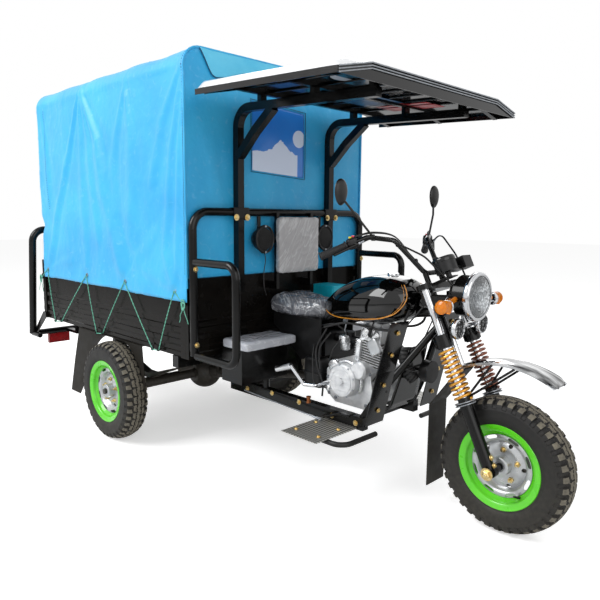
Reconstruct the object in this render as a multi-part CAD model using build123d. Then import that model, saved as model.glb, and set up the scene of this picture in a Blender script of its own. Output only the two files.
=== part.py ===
from build123d import *
import os
from math import asin, cos, radians, sin

# Cargo motor tricycle: one wheel steered by a raked fork in front, a covered cargo box over a
# leaf-sprung axle behind, and a small cab roof over the saddle between them.
# Millimetres, +X forward, +Y left, +Z up. Lengths along X are measured from the ladder's own
# datum, which lies over the rear axle, and the finished pieces are moved so that the origin is
# on the ground under the middle of the box that holds the whole tricycle.

# Driving dimensions
wheelbase = 2082.0
front_axle_x = 2082.0
tyre_radius = 283.0
tyre_width = 140.0
bed_front = 742.0
bed_rear = -987.0
bed_width = 1248.0
track_excess = 36.0
bed_floor_z = 585.0
bed_top_z = 981.0
tarp_top_z = 2062.0
tarp_hem_z = 871.0
roof_rear = 872.0
roof_front = 1714.0
roof_width = 1322.0
roof_rear_z = 1839.0
roof_front_z = 1803.0

rear_axle_x = front_axle_x - wheelbase
rear_track = bed_width + track_excess

# Shared allowances
seat_gap = 0.3
running_gap = 0.1
moving_gap = 6.0
overrun = 10.0
sheet = 3.0
round_turn = 360.0
half_turn = 180.0


def block(x, y, z):
    """A box from three pairs of low and high limits."""
    return Pos((x[0] + x[1]) / 2, (y[0] + y[1]) / 2, (z[0] + z[1]) / 2) * Box(
        x[1] - x[0], y[1] - y[0], z[1] - z[0]
    )


def rod(start, end, radius):
    """A round bar between two points."""
    run = Vector(*end) - Vector(*start)
    return Plane(origin=start, z_dir=run) * Cylinder(
        radius, run.length, align=(Align.CENTER, Align.CENTER, Align.MIN)
    )


def tube(points, radius, bend):
    """A round tube along straight runs joined by arcs of one bend radius."""
    path = FilletPolyline(*points, radius=bend)
    return sweep(Plane(origin=path @ 0, z_dir=path % 0) * Circle(radius), path=path)


def square_tube(points, width, bend):
    """A square tube along runs that lie in one upright plane."""
    path = FilletPolyline(*points, radius=bend)
    start = Plane(origin=path @ 0, x_dir=(0, 1, 0), z_dir=path % 0)
    return sweep(start * Rectangle(width, width), path=path)


def side_plate(points, y):
    """A flat plate with its outline in the XZ plane, between two limits of Y."""
    outline = make_face(Polyline(*[(x, y[0], z) for x, z in points], close=True))
    return extrude(outline, amount=y[1] - y[0], dir=(0, 1, 0))


def cross_plate(points, x):
    """A flat plate with its outline in the YZ plane, between two limits of X."""
    outline = make_face(Polyline(*[(x[0], y, z) for y, z in points], close=True))
    return extrude(outline, amount=x[1] - x[0], dir=(1, 0, 0))


def other_side(shape):
    """The same shape on the other side of the middle plane."""
    return mirror(shape, about=Plane.XZ)


def both(shape):
    """A shape and its twin on the other side."""
    return Compound(children=[*shape.solids(), *other_side(shape).solids()])


# Wheels: one size all round
bead_radius = 152.4
bead_half = 58.0
bead_toe = 16.0
flange_height = 22.0
casing = 12.0
sidewall_radius = 216.0
shoulder_radius = 263.0
shoulder_half = 61.0
rim_wall = 3.5
well_radius = 134.0
well_half = 26.0
disc_wall = 5.0
disc_radius = 128.0
disc_dish = 22.0
disc_set = 8.0
hub_radius = 36.0
hub_half = 52.0
drum_radius = 92.0
drum_half = 46.0
wheel_axle_radius = 10.0
slot_count = 8
slot_circle = 104.0
slot_long = 34.0
slot_wide = 15.0


def tyre(centre):
    """A hollow casing on its rim seats, with a crowned road face."""
    half = tyre_width / 2
    seat = bead_radius + seat_gap
    lip = bead_radius + flange_height
    inner = bead_half - bead_toe
    outside = [
        Line((seat, -inner), (seat, -bead_half)),
        Line((seat, -bead_half), (lip, -bead_half)),
        ThreePointArc((lip, -bead_half), (sidewall_radius, -half), (shoulder_radius, -shoulder_half)),
        ThreePointArc(
            (shoulder_radius, -shoulder_half), (tyre_radius, 0), (shoulder_radius, shoulder_half)
        ),
        ThreePointArc((shoulder_radius, shoulder_half), (sidewall_radius, half), (lip, bead_half)),
        Line((lip, bead_half), (seat, bead_half)),
        Line((seat, bead_half), (seat, inner)),
        ThreePointArc(
            (seat, inner), (sidewall_radius, half - casing), (shoulder_radius, shoulder_half - casing)
        ),
        ThreePointArc(
            (shoulder_radius, shoulder_half - casing),
            (tyre_radius - casing, 0),
            (shoulder_radius, casing - shoulder_half),
        ),
        ThreePointArc(
            (shoulder_radius, casing - shoulder_half), (sidewall_radius, casing - half), (seat, -inner)
        ),
    ]
    return Pos(*centre) * revolve(make_face(outside), Axis.Y)


def wheel(centre, outward, bore):
    """Rim, dished disc with slots, hub and brake drum in one, the disc set towards one side."""
    flange = bead_half + seat_gap
    lip = bead_radius + flange_height
    barrel = Polyline(
        (lip, flange),
        (lip, flange + rim_wall),
        (bead_radius - rim_wall, flange + rim_wall),
        (bead_radius - rim_wall, flange - bead_toe),
        (well_radius - rim_wall, well_half),
        (well_radius - rim_wall, -well_half),
        (bead_radius - rim_wall, bead_toe - flange),
        (bead_radius - rim_wall, -flange - rim_wall),
        (lip, -flange - rim_wall),
        (lip, -flange),
        (bead_radius, -flange),
        (bead_radius, bead_toe - flange),
        (well_radius, -well_half),
        (well_radius, well_half),
        (bead_radius, flange - bead_toe),
        (bead_radius, flange),
        close=True,
    )
    disc = Polyline(
        (bore, hub_half),
        (hub_radius, hub_half),
        (hub_radius, disc_set + disc_wall),
        (disc_radius - disc_dish - disc_dish, disc_set + disc_wall),
        (disc_radius - disc_dish, disc_set + disc_dish),
        (well_radius - rim_wall / 2, disc_set + disc_dish),
        (well_radius - rim_wall / 2, disc_set + disc_dish - disc_wall),
        (disc_radius - disc_dish, disc_set + disc_dish - disc_wall),
        (disc_radius - disc_dish - disc_dish, disc_set),
        (drum_radius, disc_set),
        (drum_radius, -drum_half),
        (hub_radius, -drum_half),
        (hub_radius, -hub_half),
        (bore, -hub_half),
        close=True,
    )
    slots = [
        Rot(0, round_turn * i / slot_count, 0)
        * Pos(slot_circle, disc_set + disc_dish, 0)
        * Rot(90, 0, 0)
        * extrude(SlotOverall(slot_long, slot_wide, rotation=90), amount=disc_dish * 2, both=True)
        for i in range(slot_count)
    ]
    slot_keep = Cylinder(hub_radius + slot_wide, hub_half * 3, rotation=(90, 0, 0))
    body = revolve(make_face(barrel), Axis.Y) + revolve(make_face(disc), Axis.Y)
    body = body - [s - slot_keep for s in slots]
    turn = Rot(0, 0, 0) if outward > 0 else Rot(0, 0, half_turn)
    return Pos(*centre) * turn * body


front_axle = (front_axle_x, 0, tyre_radius)
rear_wheel_y = rear_track / 2
hub_bore = wheel_axle_radius + running_gap

# Fork, in a plane that stands on the front axle and leans back with the rake
rake = 25.5
axle_lead = 8.0
fork_half = 114.0
stem_back = 55.0
stem_radius = 14.0
fork_tube_radius = 16.5
leg_radius = 26.0
leg_top = 306.0
spring_low = 290.0
spring_high = 516.0
spring_radius = 39.0
spring_wire = 7.0
spring_turns = 11
collar_radius = 38.0
lower_clamp_low = 524.0
lower_clamp_high = 576.0
upper_clamp_low = 776.0
upper_clamp_high = 800.0
clamp_plate = 26.0
head_tube_radius = 28.0
axle_lug_radius = 24.0
axle_lug_wide = 30.0
axle_nut_radius = 15.0
axle_nut_length = 14.0

fork_forward = (cos(radians(rake)), 0, sin(radians(rake)))
fork_up = (-sin(radians(rake)), 0, cos(radians(rake)))
fork_foot = (
    front_axle_x - axle_lead * fork_forward[0],
    0,
    tyre_radius - axle_lead * fork_forward[2],
)
fork_plane = Plane(origin=fork_foot, x_dir=fork_forward, z_dir=fork_up)


def on_fork(ahead, across, up):
    """A point of the fork's own plane, as a place on the tricycle."""
    return tuple(
        fork_foot[i] + ahead * fork_forward[i] + across * (i == 1) + up * fork_up[i] for i in range(3)
    )


def in_fork(point):
    """A place on the tricycle, as ahead, across and up in the fork's own plane."""
    x, z = point[0] - fork_foot[0], point[2] - fork_foot[2]
    return (
        x * fork_forward[0] + z * fork_forward[2],
        point[1],
        x * fork_up[0] + z * fork_up[2],
    )


def upright(radius, low, high, ahead=0.0, across=0.0):
    """A round post that stands on the fork's plane."""
    return Pos(ahead, across, low) * Cylinder(
        radius, high - low, align=(Align.CENTER, Align.CENTER, Align.MIN)
    )


def clamp(low, high, eye):
    """One fork bridge: two eyes round the tubes and a plate to the stem."""
    eyes = upright(eye, low, high, 0, fork_half) + upright(eye, low, high, 0, -fork_half)
    plate_low = high - clamp_plate
    corners = [
        (-stem_back - stem_radius * 2, -stem_radius * 2),
        (-stem_back - stem_radius * 2, stem_radius * 2),
        (-eye / 2, fork_half + eye / 2),
        (eye / 2, fork_half),
        (eye / 2, -fork_half),
        (-eye / 2, -fork_half - eye / 2),
    ]
    plate = Pos(0, 0, plate_low) * extrude(make_face(Polyline(*corners, close=True)), clamp_plate)
    return eyes + plate


def fork_clamps():
    """Upper and lower bridge joined by the steering stem."""
    hole = fork_tube_radius + seat_gap
    body = clamp(lower_clamp_low, lower_clamp_high, collar_radius)
    body = body + clamp(upper_clamp_low, upper_clamp_high, fork_tube_radius * 2)
    body = body + upright(stem_radius, lower_clamp_high - clamp_plate, upper_clamp_high, -stem_back)
    for across in (-fork_half, fork_half):
        body = body - upright(hole, lower_clamp_low - overrun, upper_clamp_high + overrun, 0, across)
    return fork_plane * body


def fork_tubes():
    """The two bright inner tubes, from inside the lower legs up through both bridges."""
    tube_one = upright(fork_tube_radius, spring_low, upper_clamp_high + overrun / 2, 0, fork_half)
    return both(fork_plane * tube_one)


def fork_legs():
    """The two lower legs with their axle lugs and the fixed front axle."""
    leg = upright(leg_radius, 0, leg_top, 0, fork_half)
    leg = leg - upright(fork_tube_radius + seat_gap, spring_low - seat_gap, leg_top + overrun, 0, fork_half)
    seat_top = spring_low - seat_gap
    leg = leg + upright(spring_radius, seat_top - spring_wire, seat_top, 0, fork_half) - upright(
        fork_tube_radius + seat_gap, seat_top, leg_top + overrun, 0, fork_half
    )
    lug = Pos(axle_lead, fork_half, 0) * Cylinder(axle_lug_radius, axle_lug_wide, rotation=(90, 0, 0))
    legs = both(fork_plane * (leg + lug))
    reach = fork_half + axle_lug_wide / 2 + axle_nut_length
    axle = Pos(*front_axle) * Cylinder(wheel_axle_radius, reach * 2, rotation=(90, 0, 0))
    nut = Pos(front_axle_x, fork_half + axle_lug_wide / 2 + axle_nut_length / 2, tyre_radius) * Cylinder(
        axle_nut_radius, axle_nut_length, rotation=(90, 0, 0)
    )
    spacer_length = fork_half - axle_lug_wide / 2 - hub_half - seat_gap
    spacer = Pos(front_axle_x, hub_half + seat_gap + spacer_length / 2, tyre_radius) * Cylinder(
        wheel_axle_radius * 1.6, spacer_length, rotation=(90, 0, 0)
    )
    return Part() + legs.solids() + axle + nut + other_side(nut) + spacer + other_side(spacer)


def fork_springs():
    """The open outer springs, each as a stack of turns that pass into one another."""
    low = spring_low
    pitch = (spring_high - low) / spring_turns
    inner = spring_radius - spring_wire * 1.6
    points = [(inner, low)]
    for i in range(spring_turns):
        start = low + i * pitch
        points += [
            (spring_radius - spring_wire, start),
            (spring_radius, start + spring_wire / 2),
            (spring_radius - spring_wire, start + spring_wire),
        ]
    points += [(spring_radius - spring_wire, spring_high), (inner, spring_high)]
    outline = make_face(Polyline(*[(r, 0, z) for r, z in points], close=True))
    spring = Pos(0, fork_half, 0) * revolve(outline, Axis.Z)
    return both(fork_plane * spring)


# Front mudguard and flap, carried by the lower bridge
guard_radius = 422.0
guard_half = 62.0
guard_wall = 4.0
guard_turns = (61.0, 119.0)
flap_low_z = 100.0
flap_half = 68.0
flap_wall = 5.0
flap_back = 330.0
flap_knee_share = 0.45


def arc_band(centre, radius, wall, first, last, half):
    """A curved band round an axle, between two angles measured up from +X."""
    ring = Cylinder(radius, half * 2, rotation=(90, 0, 0)) - Cylinder(
        radius - wall, half * 3, rotation=(90, 0, 0)
    )
    reach = radius * 2
    middle = (first + last) / 2
    wedge = make_face(
        Polyline(
            (0, 0, 0),
            (reach * cos(radians(first)), 0, reach * sin(radians(first))),
            (reach * cos(radians(middle)), 0, reach * sin(radians(middle))),
            (reach * cos(radians(last)), 0, reach * sin(radians(last))),
            close=True,
        )
    )
    return Pos(*centre) * (ring & extrude(wedge, amount=half * 3, both=True))


def front_mudguard():
    """The bright blade above the tyre, screwed under the lower bridge."""
    blade = arc_band(front_axle, guard_radius, guard_wall, *guard_turns, guard_half)
    top = on_fork(-stem_back / 2, 0, lower_clamp_high - clamp_plate - seat_gap)
    post = rod(on_fork(-stem_back / 2, 0, guard_radius - guard_wall / 2), top, stem_radius)
    return blade + post


def front_flap():
    """The dark splash flap behind the tyre, hung from the blade's rear end."""
    last = guard_turns[1]
    end_x = front_axle_x + (guard_radius - guard_wall) * cos(radians(last))
    end_z = tyre_radius + (guard_radius - guard_wall) * sin(radians(last))
    back = front_axle_x - flap_back
    points = [
        (end_x, end_z - seat_gap),
        (back, tyre_radius + guard_radius * flap_knee_share),
        (back, flap_low_z),
        (back + flap_wall, flap_low_z),
        (back + flap_wall, tyre_radius + guard_radius * flap_knee_share),
        (end_x + flap_wall, end_z - seat_gap - flap_wall),
    ]
    return side_plate(points, (-flap_half, flap_half))


# Handlebar and what it carries
bar_radius = 11.0
bar_bend = 30.0
grip_radius = 17.0
grip_length = 118.0
bar_points = [(1702.0, 58.0, 1046.0), (1584.0, 128.0, 1186.0), (1522.0, 236.0, 1200.0), (1398.0, 392.0, 1118.0)]
riser_radius = 12.0
mirror_base = (1536.0, 214.0, 1198.0)
mirror_elbow = (1500.0, 300.0, 1300.0)
mirror_centre = (1472.0, 352.0, 1388.0)
mirror_height = 112.0
mirror_width = 76.0
mirror_depth = 22.0
mirror_stem = 5.0
lever_radius = 6.0
arm_radius = 8.4
cable_radius = 4.0
cable_bend = 120.0
cable_points = [(1585.0, 238.0, 1212.0), (1738.0, 124.0, 1124.0)]
cable_end = (1866.0, 50.0, 980.0)


def handlebar():
    """One bent bar with its two risers down to the upper bridge."""
    right = [(x, -y, z) for x, y, z in reversed(bar_points)]
    bar = tube(right + bar_points, bar_radius, bar_bend)
    ahead, across, up = in_fork(bar_points[0])
    riser = fork_plane * upright(riser_radius, upper_clamp_high + seat_gap, up, ahead, across)
    return Part() + bar + riser + other_side(riser)


def bar_room():
    """The room that the bar takes in what is clamped or pushed onto it."""
    return tube(bar_points, bar_radius + seat_gap, bar_bend)


def grip_run():
    """The two ends of the left grip on the outer run of the bar."""
    end = Vector(*bar_points[-1])
    run = (Vector(*bar_points[-2]) - end).normalized()
    return end, run


def grips():
    """Rubber grips with their bores over the bar ends."""
    end, run = grip_run()
    start = end - run * (overrun / 2)
    grip = rod(tuple(start), tuple(end + run * grip_length), grip_radius)
    return both(grip - bar_room())


def lever_places():
    """The two ends of the left lever's clamp, the ends of its arm and the tip of its blade."""
    end, run = grip_run()
    near = end + run * (grip_length + overrun / 2)
    far = near + run * (grip_radius * 2)
    root = far - run * grip_radius + Vector(grip_radius, 0, 0)
    pivot = root + Vector(grip_radius, 0, 0)
    tip = end + Vector(grip_radius * 3, 0, 0) + run * grip_radius
    return near, far, root, pivot, tip


def levers():
    """Clutch and brake lever with their clamps beside the grips."""
    near, far, root, pivot, tip = lever_places()
    holder = rod(tuple(near), tuple(far), grip_radius * 1.3)
    blade = rod(tuple(pivot), tuple(tip), lever_radius)
    arm = rod(tuple(root), tuple(pivot), arm_radius)
    return both((holder + arm + blade) - bar_room())


def mirrors():
    """Oval mirrors on thin bent stems, clamped inboard of the levers."""
    stem = tube([mirror_base, mirror_elbow, mirror_centre], mirror_stem, bar_bend)
    head = Pos(*mirror_centre) * extrude(
        Plane.YZ * Ellipse(mirror_width / 2, mirror_height / 2), amount=mirror_depth / 2, both=True
    )
    foot = rod(
        (mirror_base[0], mirror_base[1], mirror_base[2] - bar_radius / 2),
        (mirror_base[0], mirror_base[1], mirror_base[2] + bar_radius),
        mirror_stem * 1.6,
    )
    return both((stem + head + foot) - bar_room())


# Headlamp, indicators, auxiliary lamps and instruments, all on the fork
lamp_centre_x = 1925.0
lamp_z = 960.0
lamp_radius = 94.0
lamp_depth = 112.0
lamp_rim = 7.0
bowl_back_share = 0.5
lens_bulge = 14.0
bracket_wall = 4.0
indicator_x = 1892.0
indicator_y = 205.0
indicator_z = 934.0
indicator_radius = 26.0
indicator_depth = 44.0
aux_x = 1900.0
aux_y = 97.0
aux_z = 833.0
aux_radius = 42.0
aux_depth = 40.0
pod_centre = (1786.0, -36.0, 1084.0)
pod_radius = 48.0
pod_depth = 60.0
switch_size = (46.0, 66.0, 52.0)
switch_centre = (1816.0, 62.0, 1094.0)


def lever_cables():
    """The cables that arch forward from the two levers and end on the headlamp's bowl."""
    near, far, root, pivot, tip = lever_places()
    back = lamp_centre_x - lamp_depth - seat_gap
    bowl_room = Polyline(
        (back, 0),
        (back, lamp_radius * bowl_back_share + seat_gap),
        (back + lamp_depth / 3, lamp_radius - lamp_rim + seat_gap),
        (lamp_centre_x, lamp_radius - lamp_rim + seat_gap),
        (lamp_centre_x, 0),
        close=True,
    )
    bowl_room = Pos(0, 0, lamp_z) * revolve(make_face(bowl_room), Axis.X)
    arm_room = rod(tuple(root), tuple(pivot + Vector(seat_gap, 0, 0)), arm_radius + seat_gap)
    blade_room = rod(tuple(pivot), tuple(tip), lever_radius + seat_gap)
    cable = tube([tuple(pivot), *cable_points, cable_end], cable_radius, cable_bend)
    return both(cable - bowl_room - arm_room - blade_room)


def headlamp():
    """The bowl with its bright rim, and the two ears that hold it to the fork tubes."""
    back = lamp_centre_x - lamp_depth
    bowl = Polyline(
        (back, 0),
        (back, lamp_radius * bowl_back_share),
        (back + lamp_depth / 3, lamp_radius - lamp_rim),
        (lamp_centre_x - lamp_rim * 2, lamp_radius - lamp_rim),
        (lamp_centre_x - lamp_rim * 2, lamp_radius + lamp_rim),
        (lamp_centre_x + lamp_rim, lamp_radius + lamp_rim),
        (lamp_centre_x + lamp_rim, lamp_radius - lamp_rim),
        (lamp_centre_x - lamp_rim, lamp_radius - lamp_rim),
        (lamp_centre_x - lamp_rim, 0),
        close=True,
    )
    bowl = Pos(0, 0, lamp_z) * revolve(make_face(bowl), Axis.X)
    ear_y = (lamp_radius - lamp_rim - bracket_wall, fork_half)
    leg_x = on_fork(0, 0, lower_clamp_high)[0]
    top = on_fork(0, 0, upper_clamp_low)
    low = on_fork(0, 0, lower_clamp_high)
    ear = side_plate(
        [
            (top[0], lamp_z),
            (lamp_centre_x - lamp_depth / 3, lamp_z + lamp_radius / 8),
            (lamp_centre_x - lamp_depth / 3, lamp_z - lamp_radius / 3),
            (low[0] - fork_tube_radius, lamp_z - lamp_radius),
        ],
        (ear_y[0], ear_y[0] + bracket_wall),
    )
    pad = side_plate(
        [
            (top[0] - fork_tube_radius, lamp_z),
            (leg_x + fork_tube_radius, lamp_z),
            (leg_x + fork_tube_radius, lamp_z - lamp_radius / 2),
            (top[0] - fork_tube_radius, lamp_z - lamp_radius / 2),
        ],
        ear_y,
    )
    keep = fork_plane * upright(
        fork_tube_radius + seat_gap, lower_clamp_low, upper_clamp_high, 0, fork_half
    )
    ears = (ear + pad) - keep
    inside = Pos(lamp_centre_x - lamp_depth / 2, 0, lamp_z) * Cylinder(
        lamp_radius - lamp_rim * 1.5, lamp_depth / 3, rotation=(0, 90, 0)
    )
    return bowl + (ears - inside) + (other_side(ears) - inside)


def headlamp_lens():
    """The bulged glass in front of the bowl."""
    face = lamp_centre_x + lamp_rim
    edge = lamp_radius - lamp_rim - seat_gap
    low = lamp_centre_x - lamp_rim + seat_gap
    sphere = (edge**2 + lens_bulge**2) / (lens_bulge * 2)
    half_angle = asin(edge / sphere) / 2
    middle = (face + lens_bulge - sphere + sphere * cos(half_angle), sphere * sin(half_angle))
    glass = [
        Line((low, 0), (low, edge)),
        Line((low, edge), (face, edge)),
        ThreePointArc((face, edge), middle, (face + lens_bulge, 0)),
        Line((face + lens_bulge, 0), (low, 0)),
    ]
    return Pos(0, 0, lamp_z) * revolve(make_face(glass), Axis.X)


def indicators():
    """Amber lamps on short stalks from the headlamp ears."""
    lamp = Pos(indicator_x, indicator_y, indicator_z) * Cylinder(
        indicator_radius, indicator_depth, rotation=(0, 90, 0)
    )
    start = (lamp_centre_x - lamp_depth / 2, lamp_radius - lamp_rim + seat_gap, lamp_z - lamp_radius / 12)
    stalk = rod(start, (indicator_x, indicator_y, indicator_z), bar_radius)
    return both((lamp + stalk) - headlamp())


def aux_lamps():
    """Two small round lamps on a cross bar in front of the lower bridge."""
    bowl = Polyline(
        (aux_x - aux_depth, 0),
        (aux_x - aux_depth, aux_radius / 3),
        (aux_x - aux_depth / 3, aux_radius),
        (aux_x, aux_radius),
        (aux_x, aux_radius - lamp_rim),
        (aux_x - lamp_rim, aux_radius - lamp_rim),
        (aux_x - lamp_rim, 0),
        close=True,
    )
    lamp = Pos(0, aux_y, aux_z) * revolve(make_face(bowl), Axis.X)
    back = aux_x - aux_depth * 0.8
    middle = lower_clamp_high - clamp_plate / 2
    clamp_face = on_fork(collar_radius / 2 + seat_gap, 0, middle)
    bridge_room = fork_plane * block(
        (-collar_radius * 2, collar_radius / 2 + seat_gap), (-fork_half, fork_half), (lower_clamp_low, lower_clamp_high)
    )
    pad_end = on_fork(collar_radius / 2 + overrun, 0, middle)
    pad = rod(clamp_face, pad_end, lever_radius * 1.5)
    bar = rod((back, -aux_y, aux_z), (back, aux_y, aux_z), lever_radius * 1.5)
    stalk = rod(pad_end, (back, 0, aux_z), lever_radius)
    return Part() + lamp + other_side(lamp) + bar + ((pad + stalk) - bridge_room)


def instruments():
    """The round instrument on its stay, and the square block beside it."""
    ahead, across, up = in_fork(pod_centre)
    pod = upright(pod_radius, up - pod_depth / 2, up + pod_depth / 2, ahead, across)
    stay_low = upper_clamp_high + seat_gap
    stay = block(
        (-collar_radius / 2, ahead), (across, -across), (stay_low, stay_low + bracket_wall)
    )
    post = upright(riser_radius, stay_low, up, ahead, across)
    box_ahead, box_across, box_up = in_fork(switch_centre)
    box = Pos(box_ahead, box_across, box_up) * Box(*switch_size)
    arm = block(
        (ahead - riser_radius, box_ahead), (across, box_across), (up - pod_depth / 2, up - pod_depth / 4)
    )
    return fork_plane * (Part() + pod + stay + post + box + arm)


# Main frame
rail_y = 400.0
rail_wide = 40.0
rail_high = 80.0
rail_front = 640.0
cross_places = (-960.0, -470.0, 30.0, 430.0)
cross_wide = 50.0
lower_rail_y = 200.0
lower_rail_z = 352.0
lower_rail_high = 60.0
lower_rail_wide = 40.0
lower_rail_front = 1505.0
lower_rail_rear = 600.0
frame_tube = 21.0
frame_bend = 60.0
backbone = [(1716.0, 0.0, 872.0), (1240.0, 0.0, 798.0), (1070.0, 0.0, 732.0), (790.0, 0.0, 700.0)]
down_foot = (1478.0, 200.0, 360.0)
down_knee = (1556.0, 168.0, 500.0)
seat_post_x = 830.0
seat_post_share = 0.8


def chassis_rails():
    """The ladder under the cargo box: two rails and their cross members."""
    top = bed_floor_z
    low = top - rail_high
    parts = [
        block((bed_rear, rail_front), (side * rail_y - rail_wide / 2, side * rail_y + rail_wide / 2), (low, top))
        for side in (-1, 1)
    ]
    for place in cross_places:
        parts.append(
            block((place - cross_wide / 2, place + cross_wide / 2), (-rail_y, rail_y), (low + rail_high / 4, top))
        )
    parts.append(
        block((rail_front - cross_wide, rail_front), (-bed_width / 2, bed_width / 2), (low + rail_high / 4, top))
    )
    return Part() + parts


def lower_frame():
    """The low rails under the engine and the two gussets that drop from the ladder to them."""
    rail = block(
        (lower_rail_rear, lower_rail_front),
        (lower_rail_y - lower_rail_wide / 2, lower_rail_y + lower_rail_wide / 2),
        (lower_rail_z - lower_rail_high / 2, lower_rail_z + lower_rail_high / 2),
    )
    low = lower_rail_z - lower_rail_high / 2
    gusset = side_plate(
        [
            (lower_rail_rear - cross_wide, bed_floor_z - rail_high + rail_high / 4 - seat_gap),
            (lower_rail_rear + cross_wide, bed_floor_z - rail_high + rail_high / 4 - seat_gap),
            (lower_rail_rear + cross_wide * 2, low),
            (lower_rail_rear - cross_wide, low),
        ],
        (lower_rail_y - lower_rail_wide / 2, lower_rail_y + lower_rail_wide / 2),
    )
    ties = [
        block(
            (x - cross_wide / 2, x + cross_wide / 2),
            (-lower_rail_y, lower_rail_y),
            (low, low + lower_rail_high / 4),
        )
        for x in (lower_rail_rear, lower_rail_front - cross_wide * 2)
    ]
    return Part() + rail + other_side(rail) + gusset + other_side(gusset) + ties


def down_tube_top():
    """The place inside the head tube where the left down tube starts."""
    return on_fork(
        -stem_back - head_tube_radius / 2, head_tube_radius / 3, lower_clamp_high + moving_gap * 3 + head_tube_radius
    )


def down_tube_place(z):
    """A place at a given height on the upper run of the left down tube."""
    top = down_tube_top()
    share = (z - down_knee[2]) / (top[2] - down_knee[2])
    return tuple(down_knee[i] + (top[i] - down_knee[i]) * share for i in range(3))


def front_frame():
    """Head tube, backbone, twin down tubes and the seat posts."""
    head_low = lower_clamp_high + moving_gap
    head_high = upper_clamp_low - moving_gap
    head = fork_plane * upright(head_tube_radius, head_low, head_high, -stem_back)
    bore = fork_plane * upright(stem_radius + running_gap, head_low - overrun, head_high + overrun, -stem_back)
    spine = tube(backbone, frame_tube, frame_bend)
    down = tube([down_tube_top(), down_knee, down_foot], frame_tube * 0.8, frame_bend)
    left_post = [
        (seat_post_x, lower_rail_y, lower_rail_z + lower_rail_high / 2 + seat_gap),
        (seat_post_x, lower_rail_y, bed_floor_z - rail_high),
    ]
    right_post = [(x, -y, z) for x, y, z in reversed(left_post)]
    post = tube(
        [*left_post, (seat_post_x, 0, backbone[-1][2] + frame_tube / 2), *right_post],
        frame_tube * seat_post_share,
        frame_bend,
    )
    floor_cut = block(
        (down_foot[0] - rail_high, down_foot[0] + rail_high),
        (lower_rail_y - rail_high, lower_rail_y + rail_high),
        (0, lower_rail_z + lower_rail_high / 2 + seat_gap),
    )
    down = down - floor_cut
    return (head + spine + down + other_side(down) + post) - bore


# Engine: an open single with an upright finned cylinder
crank_x = 1330.0
crank_z = 512.0
case_half = 118.0
cover_radius = 82.0
cover_depth = 58.0
cylinder_x = 1385.0
cylinder_low = 575.0
cylinder_high = 700.0
cylinder_core = 46.0
cylinder_lean = 7.0
fin_count = 10
fin_thick = 3.0
fin_size = (156.0, 136.0)
head_high = 770.0
head_size = (120.0, 112.0)
cover_edge = 9.0
cover_lift = 7.0
cover_rib = 6.0
cover_rib_count = 5
boss_radius = 17.0
timing_radius = 44.0
timing_depth = 40.0
timing_ahead = 86.0
timing_up = 62.0
rocker_high = 22.0
rocker_share = 0.68


def right_cover():
    """The round clutch cover with its bevelled edge, ribs and boss, and the timing cover ahead of it."""
    drum = Cylinder(cover_radius, cover_depth)
    drum = chamfer(drum.faces().sort_by(Axis.Z)[-1].edges(), cover_edge)
    face = Pos(0, 0, cover_depth / 2)
    ring = face * (
        Cylinder(cover_radius - cover_edge * 2, cover_lift) - Cylinder(cover_radius - cover_edge * 3, cover_lift * 2)
    )
    boss = face * Cylinder(boss_radius, cover_lift * 3)
    pitch = (cover_radius - cover_edge * 2) * 2 / (cover_rib_count + 1)
    ribs = [
        face * Pos(0, pitch * (i + 1 - (cover_rib_count + 1) / 2), 0) * Box(
            (cover_radius - cover_edge) * 2, cover_rib, cover_lift
        )
        for i in range(cover_rib_count)
    ]
    ribs = (Part() + ribs) & face * Cylinder(cover_radius - cover_edge * 2, cover_lift * 2)
    timing = Pos(timing_ahead, timing_up, (timing_depth - cover_depth) / 2) * Cylinder(timing_radius, timing_depth)
    timing = chamfer(timing.faces().sort_by(Axis.Z)[-1].edges(), cover_edge)
    shape = Part() + drum + ring + boss + ribs + timing
    return Pos(crank_x, -case_half - cover_depth / 2, crank_z) * Rot(90, 0, 0) * shape


def engine():
    """Crankcase with round covers, finned cylinder and head."""
    low = lower_rail_z + lower_rail_high / 2 + seat_gap
    case = side_plate(
        [
            (crank_x - cover_radius * 1.7, low + cover_radius / 2),
            (crank_x - cover_radius, low),
            (crank_x + cover_radius * 1.2, low),
            (crank_x + cover_radius * 1.9, low + cover_radius / 2),
            (crank_x + cover_radius * 1.6, crank_z + cover_radius * 0.6),
            (crank_x + cover_radius, crank_z + cover_radius),
            (crank_x - cover_radius, crank_z + cover_radius),
            (crank_x - cover_radius * 1.7, crank_z + cover_radius / 3),
        ],
        (-case_half, case_half),
    )
    right = right_cover()
    left = Pos(crank_x, case_half + cover_depth / 3, crank_z) * Cylinder(
        cover_radius * 0.9, cover_depth / 1.5, rotation=(90, 0, 0)
    )
    barrel = Cylinder(cylinder_core, head_high - crank_z, align=(Align.CENTER, Align.CENTER, Align.MIN))
    pitch = (cylinder_high - cylinder_low) / fin_count
    fins = [
        Pos(0, 0, cylinder_low - crank_z + pitch * (i + 0.5)) * Box(fin_size[0], fin_size[1], fin_thick)
        for i in range(fin_count)
    ]
    head = Pos(0, 0, (cylinder_high + head_high) / 2 - crank_z) * Box(
        head_size[0], head_size[1], head_high - cylinder_high
    )
    rocker = Pos(0, 0, head_high + rocker_high / 2 - crank_z) * Box(
        head_size[0] * rocker_share, head_size[1] * rocker_share, rocker_high
    )
    rocker = chamfer(rocker.edges().filter_by(Axis.Z), rocker_high / 2)
    top = Part() + barrel + fins + head + rocker
    top = Pos(cylinder_x, 0, crank_z) * Rot(0, cylinder_lean, 0) * top
    return Part() + case + right + left + top


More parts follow.
